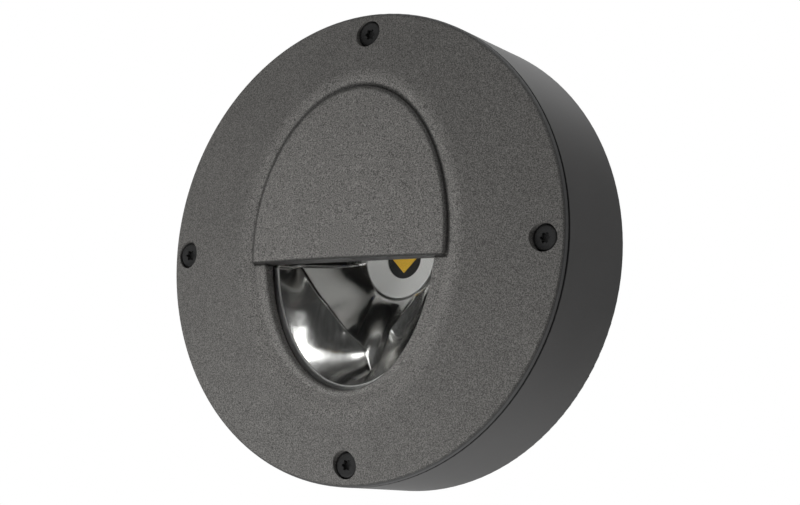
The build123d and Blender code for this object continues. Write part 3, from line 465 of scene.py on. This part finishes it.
@dataclass(frozen=True)
class CoverCoat(SeamShadedCoat):
    """The cover's coat: paler with painted light and coarser in the oval dish and on the hood,
    smooth on the rim.

    Args:
        half_width: half the width of the dish.
        half_height: half its height.
        dish_fade: where the dish's coat begins and is full, as shares of its oval.
        dish_painted_light: how many times paler the painted light makes the dish.
        coarser: how many times stronger its speckle is.
        rim_height: how far in front of the wall the turned rim ends.
        rim_fade: half the width of the change to the rim's coat.
        rim_painted_shade: how much of the coat's brightness the rim keeps, a slight painted shade.
        rim_speckle: the rim's speckle.
        rim_shade_left: how much of the colour is left in the line of painted shade where the rim
            ends.
        hood_width: half the width of the hood.
        hood_height: half the height of its oval.
        hood_edge: the height of the hood's lower edge.
        foot_shade_left: how much the painted shade leaves in the corner at the hood's foot.
        foot_fade: how wide that corner's line of painted shade is, as shares of the hood's oval.
        foot_end: where the line ends, over and under the lower edge.
        under_shade_left: how much the painted shade leaves under the hood.
        under_fade: how far from the lower edge that ends.
        side_fade: where the painted shade under the hood ends, as shares of the hood's oval.
    """

    half_width: float = 44.0
    half_height: float = 57.5
    dish_fade: Span = (1.06, 0.97)
    dish_painted_light: float = 1.28
    coarser: float = 1.15
    rim_height: float = 39.3
    rim_fade: float = 0.1
    rim_painted_shade: float = 0.97
    rim_speckle: float = 0.1
    rim_shade_left: float = 0.55
    hood_width: float = 39.5
    hood_height: float = 54.0
    hood_edge: float = -5.2
    foot_shade_left: float = 0.42
    foot_fade: Span = (0.016, 0.032)
    foot_end: Span = (0.3, -0.1)
    under_shade_left: float = 0.18
    under_fade: Span = (0.35, 0.9)
    side_fade: Span = (1.0, 1.01)

    def oval(self, graph: Graph, place: Socket, width: float, height: float) -> Socket:
        """Measures how far a point is from the middle of an oval.

        Args:
            graph: the material's graph.
            place: the point.
            width: half the oval's width.
            height: half its height.

        Returns:
            A value that is 1 on the oval.
        """
        scale = (1.0 / (width * MM), 0.0, 1.0 / (height * MM))
        squeezed = graph.add("ShaderNodeMapping", {"Vector": place, "Scale": scale})
        reach = graph.add("ShaderNodeVectorMath", {}, operation="LENGTH")
        graph.feed(reach.inputs[0], squeezed.outputs["Vector"])
        return reach.outputs["Value"]

    def hood_painted_shade(self, graph: Graph, place: Socket, up: Socket) -> Socket:
        """Gives the painted shade in the corner round the hood, and under its lower edge.

        Args:
            graph: the material's graph.
            place: the point.
            up: its height over the middle.

        Returns:
            How much of the colour is left.
        """
        # painted shade: a dark line at the hood's foot and a dark band along its lower edge
        reach = self.oval(graph, place, self.hood_width, self.hood_height)
        off = graph.math("ABSOLUTE", graph.math("SUBTRACT", reach, 1.0))
        foot = graph.spread(off, self.foot_fade, self.foot_shade_left)
        over = graph.math("SUBTRACT", up, self.hood_edge * MM)
        below = graph.spread(over, tuple(end * MM for end in self.foot_end))
        line = graph.math("MAXIMUM", foot, below)
        near = tuple(end * MM for end in self.under_fade)
        under = graph.spread(graph.math("ABSOLUTE", over), near, self.under_shade_left)
        outside = graph.spread(reach, self.side_fade)
        return graph.math("MINIMUM", line, graph.math("MAXIMUM", under, outside))

    def paint(self, graph: Graph, effects: Effects) -> None:
        """Gives the coat its two tones, the paler one painted light, its rim and its lines of
        painted shade.

        Args:
            graph: the material's graph.
            effects: the shared effects.
        """
        place = graph.place()
        parts = graph.add("ShaderNodeSeparateXYZ", {"Vector": place}).outputs
        reach = self.oval(graph, place, self.half_width, self.half_height)
        dish = graph.spread(reach, self.dish_fade)
        front, fade = -self.rim_height * MM, self.rim_fade * MM
        rim = graph.spread(parts["Y"], (front - fade, front + fade))
        # painted light: the dish and the hood are painted paler than the face
        pale = tuple(part * self.dish_painted_light for part in self.colour)
        # painted shade: the rim's plain grey is a little darker than the coat
        grey = sum(self.colour) / 3.0 * self.rim_painted_shade
        tone = self.hood_painted_shade(graph, place, parts["Z"])
        face = graph.shade(graph.blend(dish, self.colour, pale), tone)
        coarse = graph.spread(dish, WHOLE, self.speckle, self.speckle * self.coarser)
        speckle = graph.spread(rim, WHOLE, coarse, self.rim_speckle)
        colour = graph.blend(rim, face, (grey, grey, grey))
        self.dress(graph, effects, colour, speckle)
        # painted shade along the seam where the cover meets the housing
        self.line(graph, effects, self.edge, self.seam_shade_left)
        # painted shade in a thin line where the face turns into the rim
        self.line(graph, effects, self.rim_height, self.rim_shade_left)


@dataclass(frozen=True)
class PolishedMetal(Finish):
    """Polished sheet metal whose rolled edges are matte and barely metallic, so they show a painted
    highlight.

    Args:
        rim_height: how far in front of the wall the rolled rim begins.
        top_level: the height of the rolled top edge, carried on to the wall.
        top_rise: how far that edge rises for each millimetre towards the wall.
        edge_fade: how wide the change to the rolled edges is.
        edge_roughness: how matte the rolled edges are.
        highlight_metal: how metallic the rolled edges are, kept low for their painted highlight.
    """

    rim_height: float = 38.9
    top_level: float = 1.12
    top_rise: float = 0.166
    edge_fade: float = 0.2
    edge_roughness: float = 0.45
    highlight_metal: float = 0.12

    def paint(self, graph: Graph, effects: Effects) -> None:
        """Gives the metal its lines and its duller edges, which carry a painted highlight.

        Args:
            graph: the material's graph.
            effects: the shared effects.
        """
        super().paint(graph, effects)
        parts = graph.add("ShaderNodeSeparateXYZ", {"Vector": graph.place()}).outputs
        front, fade, level = -self.rim_height * MM, self.edge_fade * MM, self.top_level * MM
        rim = graph.spread(parts["Y"], (front, front - fade))
        slope = graph.math("MULTIPLY", parts["Y"], self.top_rise)
        over = graph.math("SUBTRACT", parts["Z"], slope)
        edge = graph.math("MAXIMUM", rim, graph.spread(over, (level - fade, level)))
        polish = graph.shader.inputs["Roughness"].links[0].from_socket
        dull = graph.spread(edge, WHOLE, polish, self.edge_roughness)
        graph.feed(graph.shader.inputs["Roughness"], dull)
        # painted highlight: the rolled edges lose most of their metal so the lamps light them pale
        metal = graph.spread(edge, WHOLE, self.metallic, self.highlight_metal)
        graph.feed(graph.shader.inputs["Metallic"], metal)


@dataclass(frozen=True)
class ClearGlass(Finish):
    """Clear float glass.

    Args:
        bend: its index of refraction.
    """

    bend: float = 1.5

    def paint(self, graph: Graph, effects: Effects) -> None:
        """Makes the glass clear, with a faint smear in its gloss.

        Args:
            graph: the material's graph.
            effects: the shared effects.
        """
        graph.shader.inputs["Transmission Weight"].default_value = 1.0
        graph.shader.inputs["IOR"].default_value = self.bend
        tint, rough = self.cloud(graph, effects, self.colour)
        graph.feed(graph.shader.inputs["Base Color"], tint)
        graph.feed(graph.shader.inputs["Roughness"], rough)
        ray = graph.add("ShaderNodeLightPath", {}).outputs["Is Shadow Ray"]
        clear = graph.add("ShaderNodeBsdfTransparent", {}).outputs["BSDF"]
        mix = graph.add("ShaderNodeMixShader", {"Fac": ray})
        graph.feed(mix.inputs[1], graph.shader.outputs["BSDF"])
        graph.feed(mix.inputs[2], clear)
        surface = graph.tree.nodes["Material Output"].inputs["Surface"]
        graph.feed(surface, mix.outputs["Shader"])


@dataclass(frozen=True)
class StripedSleeve(Finish):
    """A lead's sleeve in two colours.

    Args:
        stripe: the second colour.
        stripe_scale: how close the stripes are.
        stripe_fade: where one colour turns into the other.
    """

    stripe: Colour = (0.6, 0.5, 0.03)
    stripe_scale: float = 150.0
    stripe_fade: Span = (0.45, 0.55)

    def paint(self, graph: Graph, effects: Effects) -> None:
        """Gives the sleeve its stripes.

        Args:
            graph: the material's graph.
            effects: the shared effects.
        """
        wave = {"Vector": graph.place(), "Scale": self.stripe_scale}
        band = graph.add("ShaderNodeTexWave", wave, bands_direction="DIAGONAL")
        share = graph.spread(band.outputs["Fac"], self.stripe_fade)
        colour = graph.blend(share, self.colour, self.stripe)
        self.dress(graph, effects, colour, self.speckle)


HOUSING_GREY = (0.118, 0.117, 0.116)
COVER_GREY = (0.103, 0.1, 0.095)
BLACK = (0.03, 0.03, 0.03)
SILVER = (0.88, 0.875, 0.86)
COAT = {"mottle": 0.03}
FINE_GRAIN = {"grain": 0.4, "relief": 0.004}
METAL = {"metallic": 1.0, "texture": Texture.LINED}
SLEEVE = {"roughness": 0.36, "grain": 0.6, "relief": 0.004}
FINISHES: list[Finish] = [
    # both coats carry a line of painted shade along the seam between housing and cover
    SeamShadedCoat("housing_coat", HOUSING_GREY, 0.5, grain=0.35, relief=0.006, speckle=0.06, **COAT),
    CoverCoat("cover_coat", COVER_GREY, 0.55, relief=0.05, speckle=0.62, edge=37.5, **COAT),
    Finish("black_screw", BLACK, 0.28, grain=0.3, relief=0.004, speckle=0.2, mottle=0.1),
    Finish("rubber", (0.018, 0.018, 0.018), 0.7, grain=0.6),
    Finish("foam", (0.05, 0.05, 0.05), 0.9, relief=0.08, speckle=0.25),
    ClearGlass("clear_glass", (0.985, 0.99, 0.985), 0.015, patch=12.0, mottle=0.01),
    Finish("zinc_steel", (0.6, 0.6, 0.58), 0.3, speckle=0.25, **FINE_GRAIN, **METAL),
    PolishedMetal("reflector_metal", SILVER, 0.17, grain=0.9, relief=0.001, speckle=0.2, **METAL),
    Finish("white_plastic", (0.9, 0.9, 0.88), 0.45, speckle=0.02, **FINE_GRAIN),
    Finish("led_base", BLACK, 0.3, **FINE_GRAIN),
    Finish("phosphor", (0.98, 0.6, 0.06), 0.5, grain=0.25, relief=0.02, speckle=0.12),
    Finish("board_metal", (0.75, 0.75, 0.73), 0.4, grain=0.6, relief=0.004),
    Finish("thermal_pad", (0.42, 0.42, 0.44), 0.8, grain=0.4, relief=0.02, speckle=0.1),
    Finish("driver_plastic", (0.72, 0.72, 0.7), 0.5, relief=0.012),
    Finish("green_board", (0.03, 0.15, 0.06), 0.35, grain=1.4, relief=0.02, speckle=0.25),
    Finish("terminal_plastic", (0.7, 0.68, 0.62), 0.42, relief=0.006),
    Finish("brass", (0.72, 0.52, 0.2), 0.28, grain=0.3, relief=0.004, speckle=0.25, **METAL),
    Finish("red_lead", (0.5, 0.025, 0.02), **SLEEVE),
    Finish("black_lead", (0.015, 0.015, 0.015), **SLEEVE),
    Finish("brown_lead", (0.12, 0.045, 0.02), **SLEEVE),
    Finish("blue_lead", (0.02, 0.07, 0.32), **SLEEVE),
    StripedSleeve("green_lead", (0.03, 0.25, 0.04), **SLEEVE),
]


def direction(bearing: float, height: float) -> Vector:
    """Points away from the light, in degrees from the front to the right and upwards."""
    turn, rise = radians(bearing), radians(height)
    return Vector((sin(turn) * cos(rise), -cos(turn) * cos(rise), sin(rise)))


@dataclass
class Viewpoint:
    """The camera that stands where the photograph was taken from.

    Args:
        place: its place in metres.
        turn: its angle round the light, in degrees.
        rise: its angle above the light, in degrees.
        tilt: its roll, in degrees.
        lens: the focal length in millimetres.
        sensor: the sensor's width in millimetres.
        nearest: the nearest thing that it shows, in metres.
    """

    place: Point = (0.45699, -0.66469, -0.11285)
    turn: float = 35.155
    rise: float = -8.215
    tilt: float = 2.982
    lens: float = 105.46
    sensor: float = 36.0
    nearest: float = 0.01

    def build(self) -> None:
        """Makes the camera and hands it to the scene."""
        turn, tilt = radians(self.turn), radians(self.tilt)
        back = direction(self.turn, self.rise)
        level = Vector((cos(turn), sin(turn), 0.0))
        upright = back.cross(level)
        right = cos(tilt) * level + sin(tilt) * upright
        top = cos(tilt) * upright - sin(tilt) * level
        data = bpy.data.cameras.new("viewpoint")
        data.lens = self.lens
        data.sensor_width = self.sensor
        data.sensor_fit = "HORIZONTAL"
        data.clip_start = self.nearest
        camera = bpy.data.objects.new("viewpoint", data)
        axes = Matrix((right, top, back)).transposed().to_4x4()
        camera.matrix_world = Matrix.Translation(self.place) @ axes
        bpy.context.scene.collection.objects.link(camera)
        bpy.context.scene.camera = camera


@dataclass(frozen=True)
class Panel:
    """A soft light panel that faces the wall light.

    Args:
        name: its name.
        bearing: its bearing in degrees, from the front towards the right.
        height: its angle above the light, in degrees.
        size: its width and height in metres.
        power: its power in watts.
        distance: how far off it stands, in metres.
        mirrored: whether polished surfaces show it.
    """

    name: str
    bearing: float
    height: float
    size: Span
    power: float
    distance: float = 1.0
    mirrored: bool = True

    def build(self) -> None:
        """Makes the panel's lamp."""
        away = direction(self.bearing, self.height)
        data = bpy.data.lights.new(self.name, "AREA")
        data.shape = "RECTANGLE"
        data.size, data.size_y = self.size
        data.energy = self.power
        lamp = bpy.data.objects.new(self.name, data)
        lamp.location = away * self.distance
        lamp.rotation_mode = "QUATERNION"
        lamp.rotation_quaternion = away.to_track_quat("Z", "Y")
        lamp.visible_glossy = self.mirrored
        bpy.context.scene.collection.objects.link(lamp)


@dataclass(frozen=True)
class Drape:
    """A dark cloth round part of the studio that only mirrors and glass see.

    Args:
        name: its name.
        bearing: where it starts and ends, in degrees.
        height: its lower and upper edge, in degrees above the light.
        tone: its grey tone.
        distance: how far off it hangs, in metres.
        steps: how many faces go along each side.
    """

    name: str
    bearing: Span
    height: Span
    tone: float
    distance: float = 1.4
    steps: int = 12

    def build(self) -> None:
        """Hangs the cloth."""
        shape = bmesh.new()
        (left, right), (low, high) = self.bearing, self.height
        shares = [k / self.steps for k in range(self.steps + 1)]
        heights = [low + share * (high - low) for share in shares]
        bearings = [left + share * (right - left) for share in shares]
        rows = [[direction(b, h) * self.distance for b in bearings] for h in heights]
        add_grid(shape, rows, False)
        material = bpy.data.materials.new(self.name)
        material.use_nodes = True
        inputs = material.node_tree.nodes["Principled BSDF"].inputs
        inputs["Base Color"].default_value = (0.0, 0.0, 0.0, 1.0)
        inputs["Specular IOR Level"].default_value = 0.0
        inputs["Emission Color"].default_value = (self.tone, self.tone, self.tone, 1.0)
        inputs["Emission Strength"].default_value = 1.0
        cloth = make_piece(self.name, shape, material)
        cloth.visible_camera = cloth.visible_diffuse = cloth.visible_shadow = False


@dataclass
class Studio:
    """The pale floor, the soft light and the white surroundings.

    Args:
        floor_height: the floor's height in metres.
        floor_side: the floor's side in metres.
        floor_tone: the floor's grey tone.
        floor_roughness: how matte the floor is.
        ambient: the strength of the light from all sides.
        panels: the light panels.
        drapes: the dark cloths.
    """

    floor_height: float = -0.9
    floor_side: float = 6.0
    floor_tone: float = 0.8
    floor_roughness: float = 0.9
    ambient: float = 0.34
    panels: tuple[Panel, ...] = (
        Panel("front_panel", -20.0, -28.0, (0.6, 0.6), 2.8, mirrored=False),
        Panel("left_panel", -58.0, -22.0, (0.7, 0.7), 3.8, mirrored=False),
        Panel("under_panel", -5.0, -65.0, (0.3, 0.3), 7.0, mirrored=False),
        Panel("upper_panel", 29.0, 52.0, (0.2, 0.3), 0.6),
        Panel("right_panel", 90.0, 0.0, (0.7, 0.7), 0.4),
        Panel("low_panel", 140.0, -60.0, (0.7, 0.7), 0.4),
    )
    drapes: tuple[Drape, ...] = (
        Drape("front_drape", (-100.0, 100.0), (-60.0, 43.5), 0.035),
        Drape("upper_drape", (-100.0, 22.0), (43.5, 82.0), 0.15),
        Drape("back_drape", (100.0, 180.0), (-30.0, 40.0), 0.03),
    )

    def build(self) -> None:
        """Makes everything in the studio."""
        self.surround()
        self.floor()
        for thing in (*self.panels, *self.drapes):
            thing.build()
        bpy.context.scene.view_settings.view_transform = "Standard"

    def surround(self) -> None:
        """Makes a world that looks white and lights the scene softly."""
        world = bpy.data.worlds.new("white_surround")
        bpy.context.scene.world = world
        world.use_nodes = True
        graph = Graph(world.node_tree)
        ray = graph.add("ShaderNodeLightPath", {}).outputs
        seen = graph.math("MAXIMUM", ray["Is Camera Ray"], ray["Is Glossy Ray"])
        seen = graph.math("MAXIMUM", seen, ray["Is Transmission Ray"])
        inputs = world.node_tree.nodes["Background"].inputs
        inputs["Color"].default_value = (1.0, 1.0, 1.0, 1.0)
        graph.feed(inputs["Strength"], graph.spread(seen, WHOLE, self.ambient))

    def floor(self) -> None:
        """Makes the pale floor."""
        half, up = self.floor_side / 2.0, self.floor_height
        corners = [(-half, -half, up), (half, -half, up), (half, half, up), (-half, half, up)]
        mesh = bpy.data.meshes.new("floor")
        mesh.from_pydata(corners, [], [(0, 1, 2, 3)])
        plane = bpy.data.objects.new("floor", mesh)
        bpy.context.scene.collection.objects.link(plane)
        material = bpy.data.materials.new("pale_floor")
        material.use_nodes = True
        inputs = material.node_tree.nodes["Principled BSDF"].inputs
        inputs["Base Color"].default_value = (*[self.floor_tone] * 3, 1.0)
        inputs["Roughness"].default_value = self.floor_roughness
        mesh.materials.append(material)


def smooth_line(points: list[Vector], count: int) -> list[Vector]:
    """Draws a smooth line through points.

    Args:
        points: the points that it passes, from end to end.
        count: how many points to give back.

    Returns:
        Points spread along the line, both ends included.
    """
    ends = [2 * points[0] - points[1], *points, 2 * points[-1] - points[-2]]
    made = []
    for i in range(count):
        along = i / (count - 1) * (len(points) - 1)
        k = min(int(along), len(points) - 2)
        f = along - k
        a, b, c, d = ends[k : k + 4]
        square, cube = 2 * a - 5 * b + 4 * c - d, 3 * b - a - 3 * c + d
        made.append(b + ((c - a) * f + square * f**2 + cube * f**3) / 2)
    return made


def add_grid(mesh: bmesh.types.BMesh, rows: Sheet, flip: bool) -> None:
    """Adds a sheet of quads.

    Args:
        mesh: the mesh that it goes into.
        rows: equal rows of points.
        flip: whether its faces look the other way.
    """
    grid = [[mesh.verts.new(point) for point in row] for row in rows]
    for near, far in zip(grid, grid[1:]):
        for i in range(len(near) - 1):
            corners = (near[i], near[i + 1], far[i + 1], far[i])
            mesh.faces.new(corners[::-1] if flip else corners)


def add_tube(mesh: bmesh.types.BMesh, line: list[Vector], radius: float, sides: int = 10) -> None:
    """Adds a round bead along a line.

    Args:
        mesh: the mesh that it goes into.
        line: the points along its middle.
        radius: its radius.
        sides: how many faces go round it.
    """
    angles = [2 * pi * k / sides for k in range(sides)]
    rings = []
    for i, point in enumerate(line):
        ahead = (line[min(i + 1, len(line) - 1)] - line[max(i - 1, 0)]).normalized()
        side = ahead.cross(Vector((0.0, 1.0, 0.0))).normalized()
        other = ahead.cross(side)
        ring = [point + radius * (cos(a) * side + sin(a) * other) for a in angles]
        rings.append([mesh.verts.new(spot) for spot in ring])
    for near, far in zip(rings, rings[1:]):
        for k in range(sides):
            mesh.faces.new((near[k], near[k - 1], far[k - 1], far[k]))
    mesh.faces.new(rings[0])
    mesh.faces.new(rings[-1][::-1])


def make_piece(
    name: str, mesh: bmesh.types.BMesh, material: bpy.types.Material
) -> bpy.types.Object:
    """Turns a mesh into a smooth shaded object of the scene.

    Args:
        name: the piece's name.
        mesh: its shape, which is used up.
        material: its finish.

    Returns:
        The new object.
    """
    data = bpy.data.meshes.new(name)
    mesh.to_mesh(data)
    mesh.free()
    data.polygons.foreach_set("use_smooth", [True] * len(data.polygons))
    data.materials.append(material)
    piece = bpy.data.objects.new(name, data)
    bpy.context.scene.collection.objects.link(piece)
    return piece


class Coating:
    """Gives every CAD node the finish of its material slot."""

    def __init__(self) -> None:
        """Makes every finish once."""
        effects = Effects()
        self.materials = {finish.name: finish.build(effects) for finish in FINISHES}

    def dress_nodes(self) -> None:
        """Puts the finishes on the CAD nodes."""
        for row in frame["record"]["subparts"]:
            node = frame["nodes"][row["node"]]
            for place in node.material_slots:
                place.material = self.materials[row["material_slot"]]
            LOG.info("%s is dressed as %s", row["node"], row["material_slot"])


@dataclass
class CoverShell:
    """The front cover, its CAD node's mesh shaded evenly at the middle of the dome.

    Args:
        node: the CAD node that it stands for.
        slot: the material slot of its finish.
        reach: how far round the middle the shading is put right, in millimetres.
    """

    node: str = "front_cover"
    slot: str = "cover_coat"
    reach: float = 0.1

    def build(self, coating: Coating) -> bpy.types.Object:
        """Makes the cover and lets it stand for its CAD node.

        Args:
            coating: the finishes.

        Returns:
            The new piece.
        """
        data = frame["nodes"][self.node].data.copy()
        data.name = "cover_shell"
        normals = [corner.vector.copy() for corner in data.corner_normals]
        for face in data.polygons:
            for corner in face.loop_indices:
                point = data.vertices[data.loops[corner].vertex_index].co
                if Vector((point.x, point.z)).length < self.reach * MM:
                    normals[corner] = face.normal.copy()
        data.normals_split_custom_set(normals)
        data.materials.clear()
        data.materials.append(coating.materials[self.slot])
        piece = bpy.data.objects.new("cover_shell", data)
        bpy.context.scene.collection.objects.link(piece)
        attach(piece, "cover")
        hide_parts(self.node)
        LOG.info("%s is made", piece.name)
        return piece


@dataclass
class ReflectorBowl:
    """The polished reflector: a deep bowl round the LED between two side scoops.

    Sizes are in millimetres. Heights are in front of the wall, and the crease is where a scoop
    meets the bowl.

    Args:
        rim_width: half the width of the rim.
        rim_height: half the height of the rim.
        front: the rim's height.
        top: where the straight top edge meets the rim.
        top_rise: how far the top edge rises for each millimetre of depth.
        throat: the radius of the hole for the LED.
        throat_height: the height of the hole's edge.
        crease: points along the left crease, from the top edge down to the middle.
        scoop: how far a scoop sags behind a flat sheet.
        scoop_fade: how soon that sag fades towards the middle.
        hollow_top: how steeply the bowl drops behind the crease, near the top edge.
        hollow_low: the same near the middle.
        hollow_share: the share of the crease over which the first turns into the second.
        skin: the thickness of the metal.
        bead: the radius of the rolled edge.
        lip: the width of the flange round the rim.
        ear_place: how far to the side and how high the screw ears are.
        ear: the radius of a screw ear.
        ear_hole: the radius of its hole.
        ear_front: the height of its front.
        ear_back: the height of its back.
        ear_sides: how many faces go round it.
        weld: points that are nearer than this are joined.
        rows: how many points go along the crease.
        columns: how many points go across each sheet.
    """

    rim_width: float = 33.6
    rim_height: float = 46.8
    front: float = 39.27
    top: float = -5.4
    top_rise: float = 0.166
    throat: float = 14.3
    throat_height: float = 14.0
    crease: tuple[Point, ...] = (
        (-30.2, 31.6, -4.15),
        (-23.8, 31.4, -12.2),
        (-17.9, 31.7, -18.0),
        (-12.4, 31.6, -23.6),
        (-9.2, 31.3, -26.9),
        (-7.2, 29.6, -29.4),
        (-5.3, 28.0, -31.3),
        (-3.6, 27.4, -33.9),
        (-1.6, 27.7, -37.4),
        (0.0, 28.4, -40.6),
    )
    scoop: float = 1.8
    scoop_fade: float = 1.5
    hollow_top: float = 2.3
    hollow_low: float = 0.7
    hollow_share: float = 0.6
    skin: float = 0.9
    bead: float = 0.45
    lip: float = 2.0
    ear_place: Span = (40.0, -12.0)
    ear: float = 4.5
    ear_hole: float = 1.6
    ear_front: float = 29.97
    ear_back: float = 27.97
    ear_sides: int = 64
    weld: float = 0.02
    rows: int = 72
    columns: int = 26

    def place(self, x: float, height: float, z: float) -> Vector:
        """Gives a point in the CAD frame, in metres."""
        return Vector((x, -height, z)) * MM

    def quarter(self, width: float, tall: float, height: float, top: float) -> list[Vector]:
        """Gives points down the left half of an oval, from the top edge to the middle.

        Args:
            width: half the oval's width.
            tall: half its height.
            height: how far in front of the wall it lies.
            top: where the top edge cuts it.

        Returns:
            One point for each row.
        """
        start = asin(-top / tall)
        angles = [start + (pi / 2 - start) * i / (self.rows - 1) for i in range(self.rows)]
        return [self.place(-width * cos(a), height, -tall * sin(a)) for a in angles]

    def rim_line(self) -> list[Vector]:
        """Gives points down the left half of the rim."""
        return self.quarter(self.rim_width, self.rim_height, self.front, self.top)

    def throat_line(self) -> list[Vector]:
        """Gives points down the left half of the hole."""
        top = self.top + self.top_rise * (self.front - self.throat_height)
        return self.quarter(self.throat, self.throat, self.throat_height, top)

    def half(self) -> tuple[Sheet, Sheet]:
        """Shapes the left scoop and the left half of the bowl.

        Returns:
            The scoop's rows and the bowl's rows.
        """
        creases = smooth_line([self.place(*point) for point in self.crease], self.rows)
        across = [k / (self.columns - 1) for k in range(self.columns)]
        swing = self.hollow_low - self.hollow_top
        scoops, bowls = [], []
        lines = zip(self.rim_line(), creases, self.throat_line())
        for i, (rim, crease, hole) in enumerate(lines):
            along = i / (self.rows - 1)
            sag = self.scoop * MM * min(1.0, self.scoop_fade * (1.0 - along))
            sags = [Vector((0.0, sag * sin(pi * t), 0.0)) for t in across]
            scoops.append([rim.lerp(crease, t) + back for t, back in zip(across, sags)])
            steep = self.hollow_top + swing * min(1.0, along / self.hollow_share)
            row = []
            for t in across:
                flat = crease.lerp(hole, t)
                drop = 1.0 - (1.0 - t) ** steep
                row.append(Vector((flat.x, crease.y + (hole.y - crease.y) * drop, flat.z)))
            bowls.append(row)
        return scoops, bowls

    def flange(self, rim: list[Vector]) -> Sheet:
        """Lays the flat flange outside the left half of the rim.

        Args:
            rim: the points down that half.

        Returns:
            The flange's rows.
        """
        rows = []
        for point in rim:
            away = Vector((point.x / self.rim_width**2, 0.0, point.z / self.rim_height**2))
            rows.append([point + away.normalized() * self.lip * MM, point])
        return rows

    def skins(self, scoops: Sheet, bowls: Sheet, flange: Sheet) -> list[Sheet]:
        """Gives the left half's metal a thickness.

        Args:
            scoops: the rows of the scoop, as they show from the front.
            bowls: the rows of the bowl.
            flange: the rows of the flange.

        Returns:
            Those sheets, the sheets behind them and the strips that close their free edges.
        """
        fronts = [scoops, bowls, flange]
        straight = Vector((0.0, self.skin * MM, 0.0))
        backs = [[[point + straight for point in row] for row in rows] for rows in fronts]
        for row in backs[1]:
            for k, point in enumerate(row):
                share = k / (self.columns - 1)
                out = Vector((point.x, 0.0, point.z)).normalized() * self.skin * MM
                row[k] = point - straight + straight.lerp(out, share)
        edges = [[sheet[0], back[0]] for sheet, back in zip(fronts, backs)]
        edges.append([[row[-1] for row in bowls], [row[-1] for row in backs[1]]])
        edges.append([[row[0] for row in flange], [row[0] for row in backs[2]]])
        return [*fronts, *backs, *edges]

    def add_ear(self, mesh: bmesh.types.BMesh, crease: list[Vector], side: int) -> None:
        """Adds one screw ear, a flat tongue from the bowl's outer wall with a hole.

        Args:
            mesh: the mesh that it goes into.
            crease: the left crease, which the tongue starts below.
            side: -1 for the left ear, 1 for the right one.
        """
        across, up = self.ear_place
        levels = [(up + self.ear) * MM, (up - self.ear) * MM]
        high_end, low_end = [min(crease, key=lambda p: abs(p.z - z)).x / MM for z in levels]
        lean = (low_end - high_end) / (2 * self.ear)
        middle = across + (high_end + low_end) / 2
        low, high = self.ear_back, self.ear_front
        loops = []
        for k in range(self.ear_sides):
            turn = 2 * pi * k / self.ear_sides
            reach = self.ear
            if cos(turn) < 0.0:
                reach = self.ear / abs(sin(turn))
                closing = lean * sin(turn) - cos(turn)
                if closing > 0.0:
                    reach = min(reach, middle / closing)
            spots = [(reach, low), (reach, high), (self.ear_hole, high), (self.ear_hole, low)]
            ring = [(side * (across + r * cos(turn)), h, up + r * sin(turn)) for r, h in spots]
            loops.append([mesh.verts.new(self.place(*point)) for point in ring])
        for near, far in zip(loops, loops[1:] + loops[:1]):
            for i in range(len(near)):
                corners = (near[i], near[i - 1], far[i - 1], far[i])
                mesh.faces.new(corners if side > 0 else corners[::-1])

    def build(self, coating: Coating) -> bpy.types.Object:
        """Makes the reflector and lets it stand for its CAD node.

        Args:
            coating: the finishes.

        Returns:
            The new piece.
        """
        mesh = bmesh.new()
        rim = self.rim_line()
        scoops, bowls = self.half()
        mirror = Matrix.Diagonal((-1.0, 1.0, 1.0)).to_3x3()
        for rows in self.skins(scoops, bowls, self.flange(rim)):
            add_grid(mesh, rows, False)
            add_grid(mesh, [[mirror @ point for point in row] for row in rows], True)
        bmesh.ops.remove_doubles(mesh, verts=mesh.verts, dist=self.weld * MM)
        tops = [scoops[0], bowls[0]]
        tops += [[mirror @ point for point in line] for line in tops]
        for line in (rim + [mirror @ point for point in rim[-2::-1]], *tops):
            add_tube(mesh, line, self.bead * MM)
        for side in (-1, 1):
            self.add_ear(mesh, [row[0] for row in bowls], side)
        bmesh.ops.recalc_face_normals(mesh, faces=mesh.faces)
        piece = make_piece("polished_reflector", mesh, coating.materials["reflector_metal"])
        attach(piece, "housing")
        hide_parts("reflector")
        LOG.info("%s is made", piece.name)
        return piece


def main() -> None:
    """Builds the camera, the studio and every piece."""
    logging.basicConfig(level=logging.INFO, format="%(message)s")
    Viewpoint().build()
    Studio().build()
    coating = Coating()
    coating.dress_nodes()
    CoverShell().build(coating)
    ReflectorBowl().build(coating)


if __name__ == "__main__":
    main()
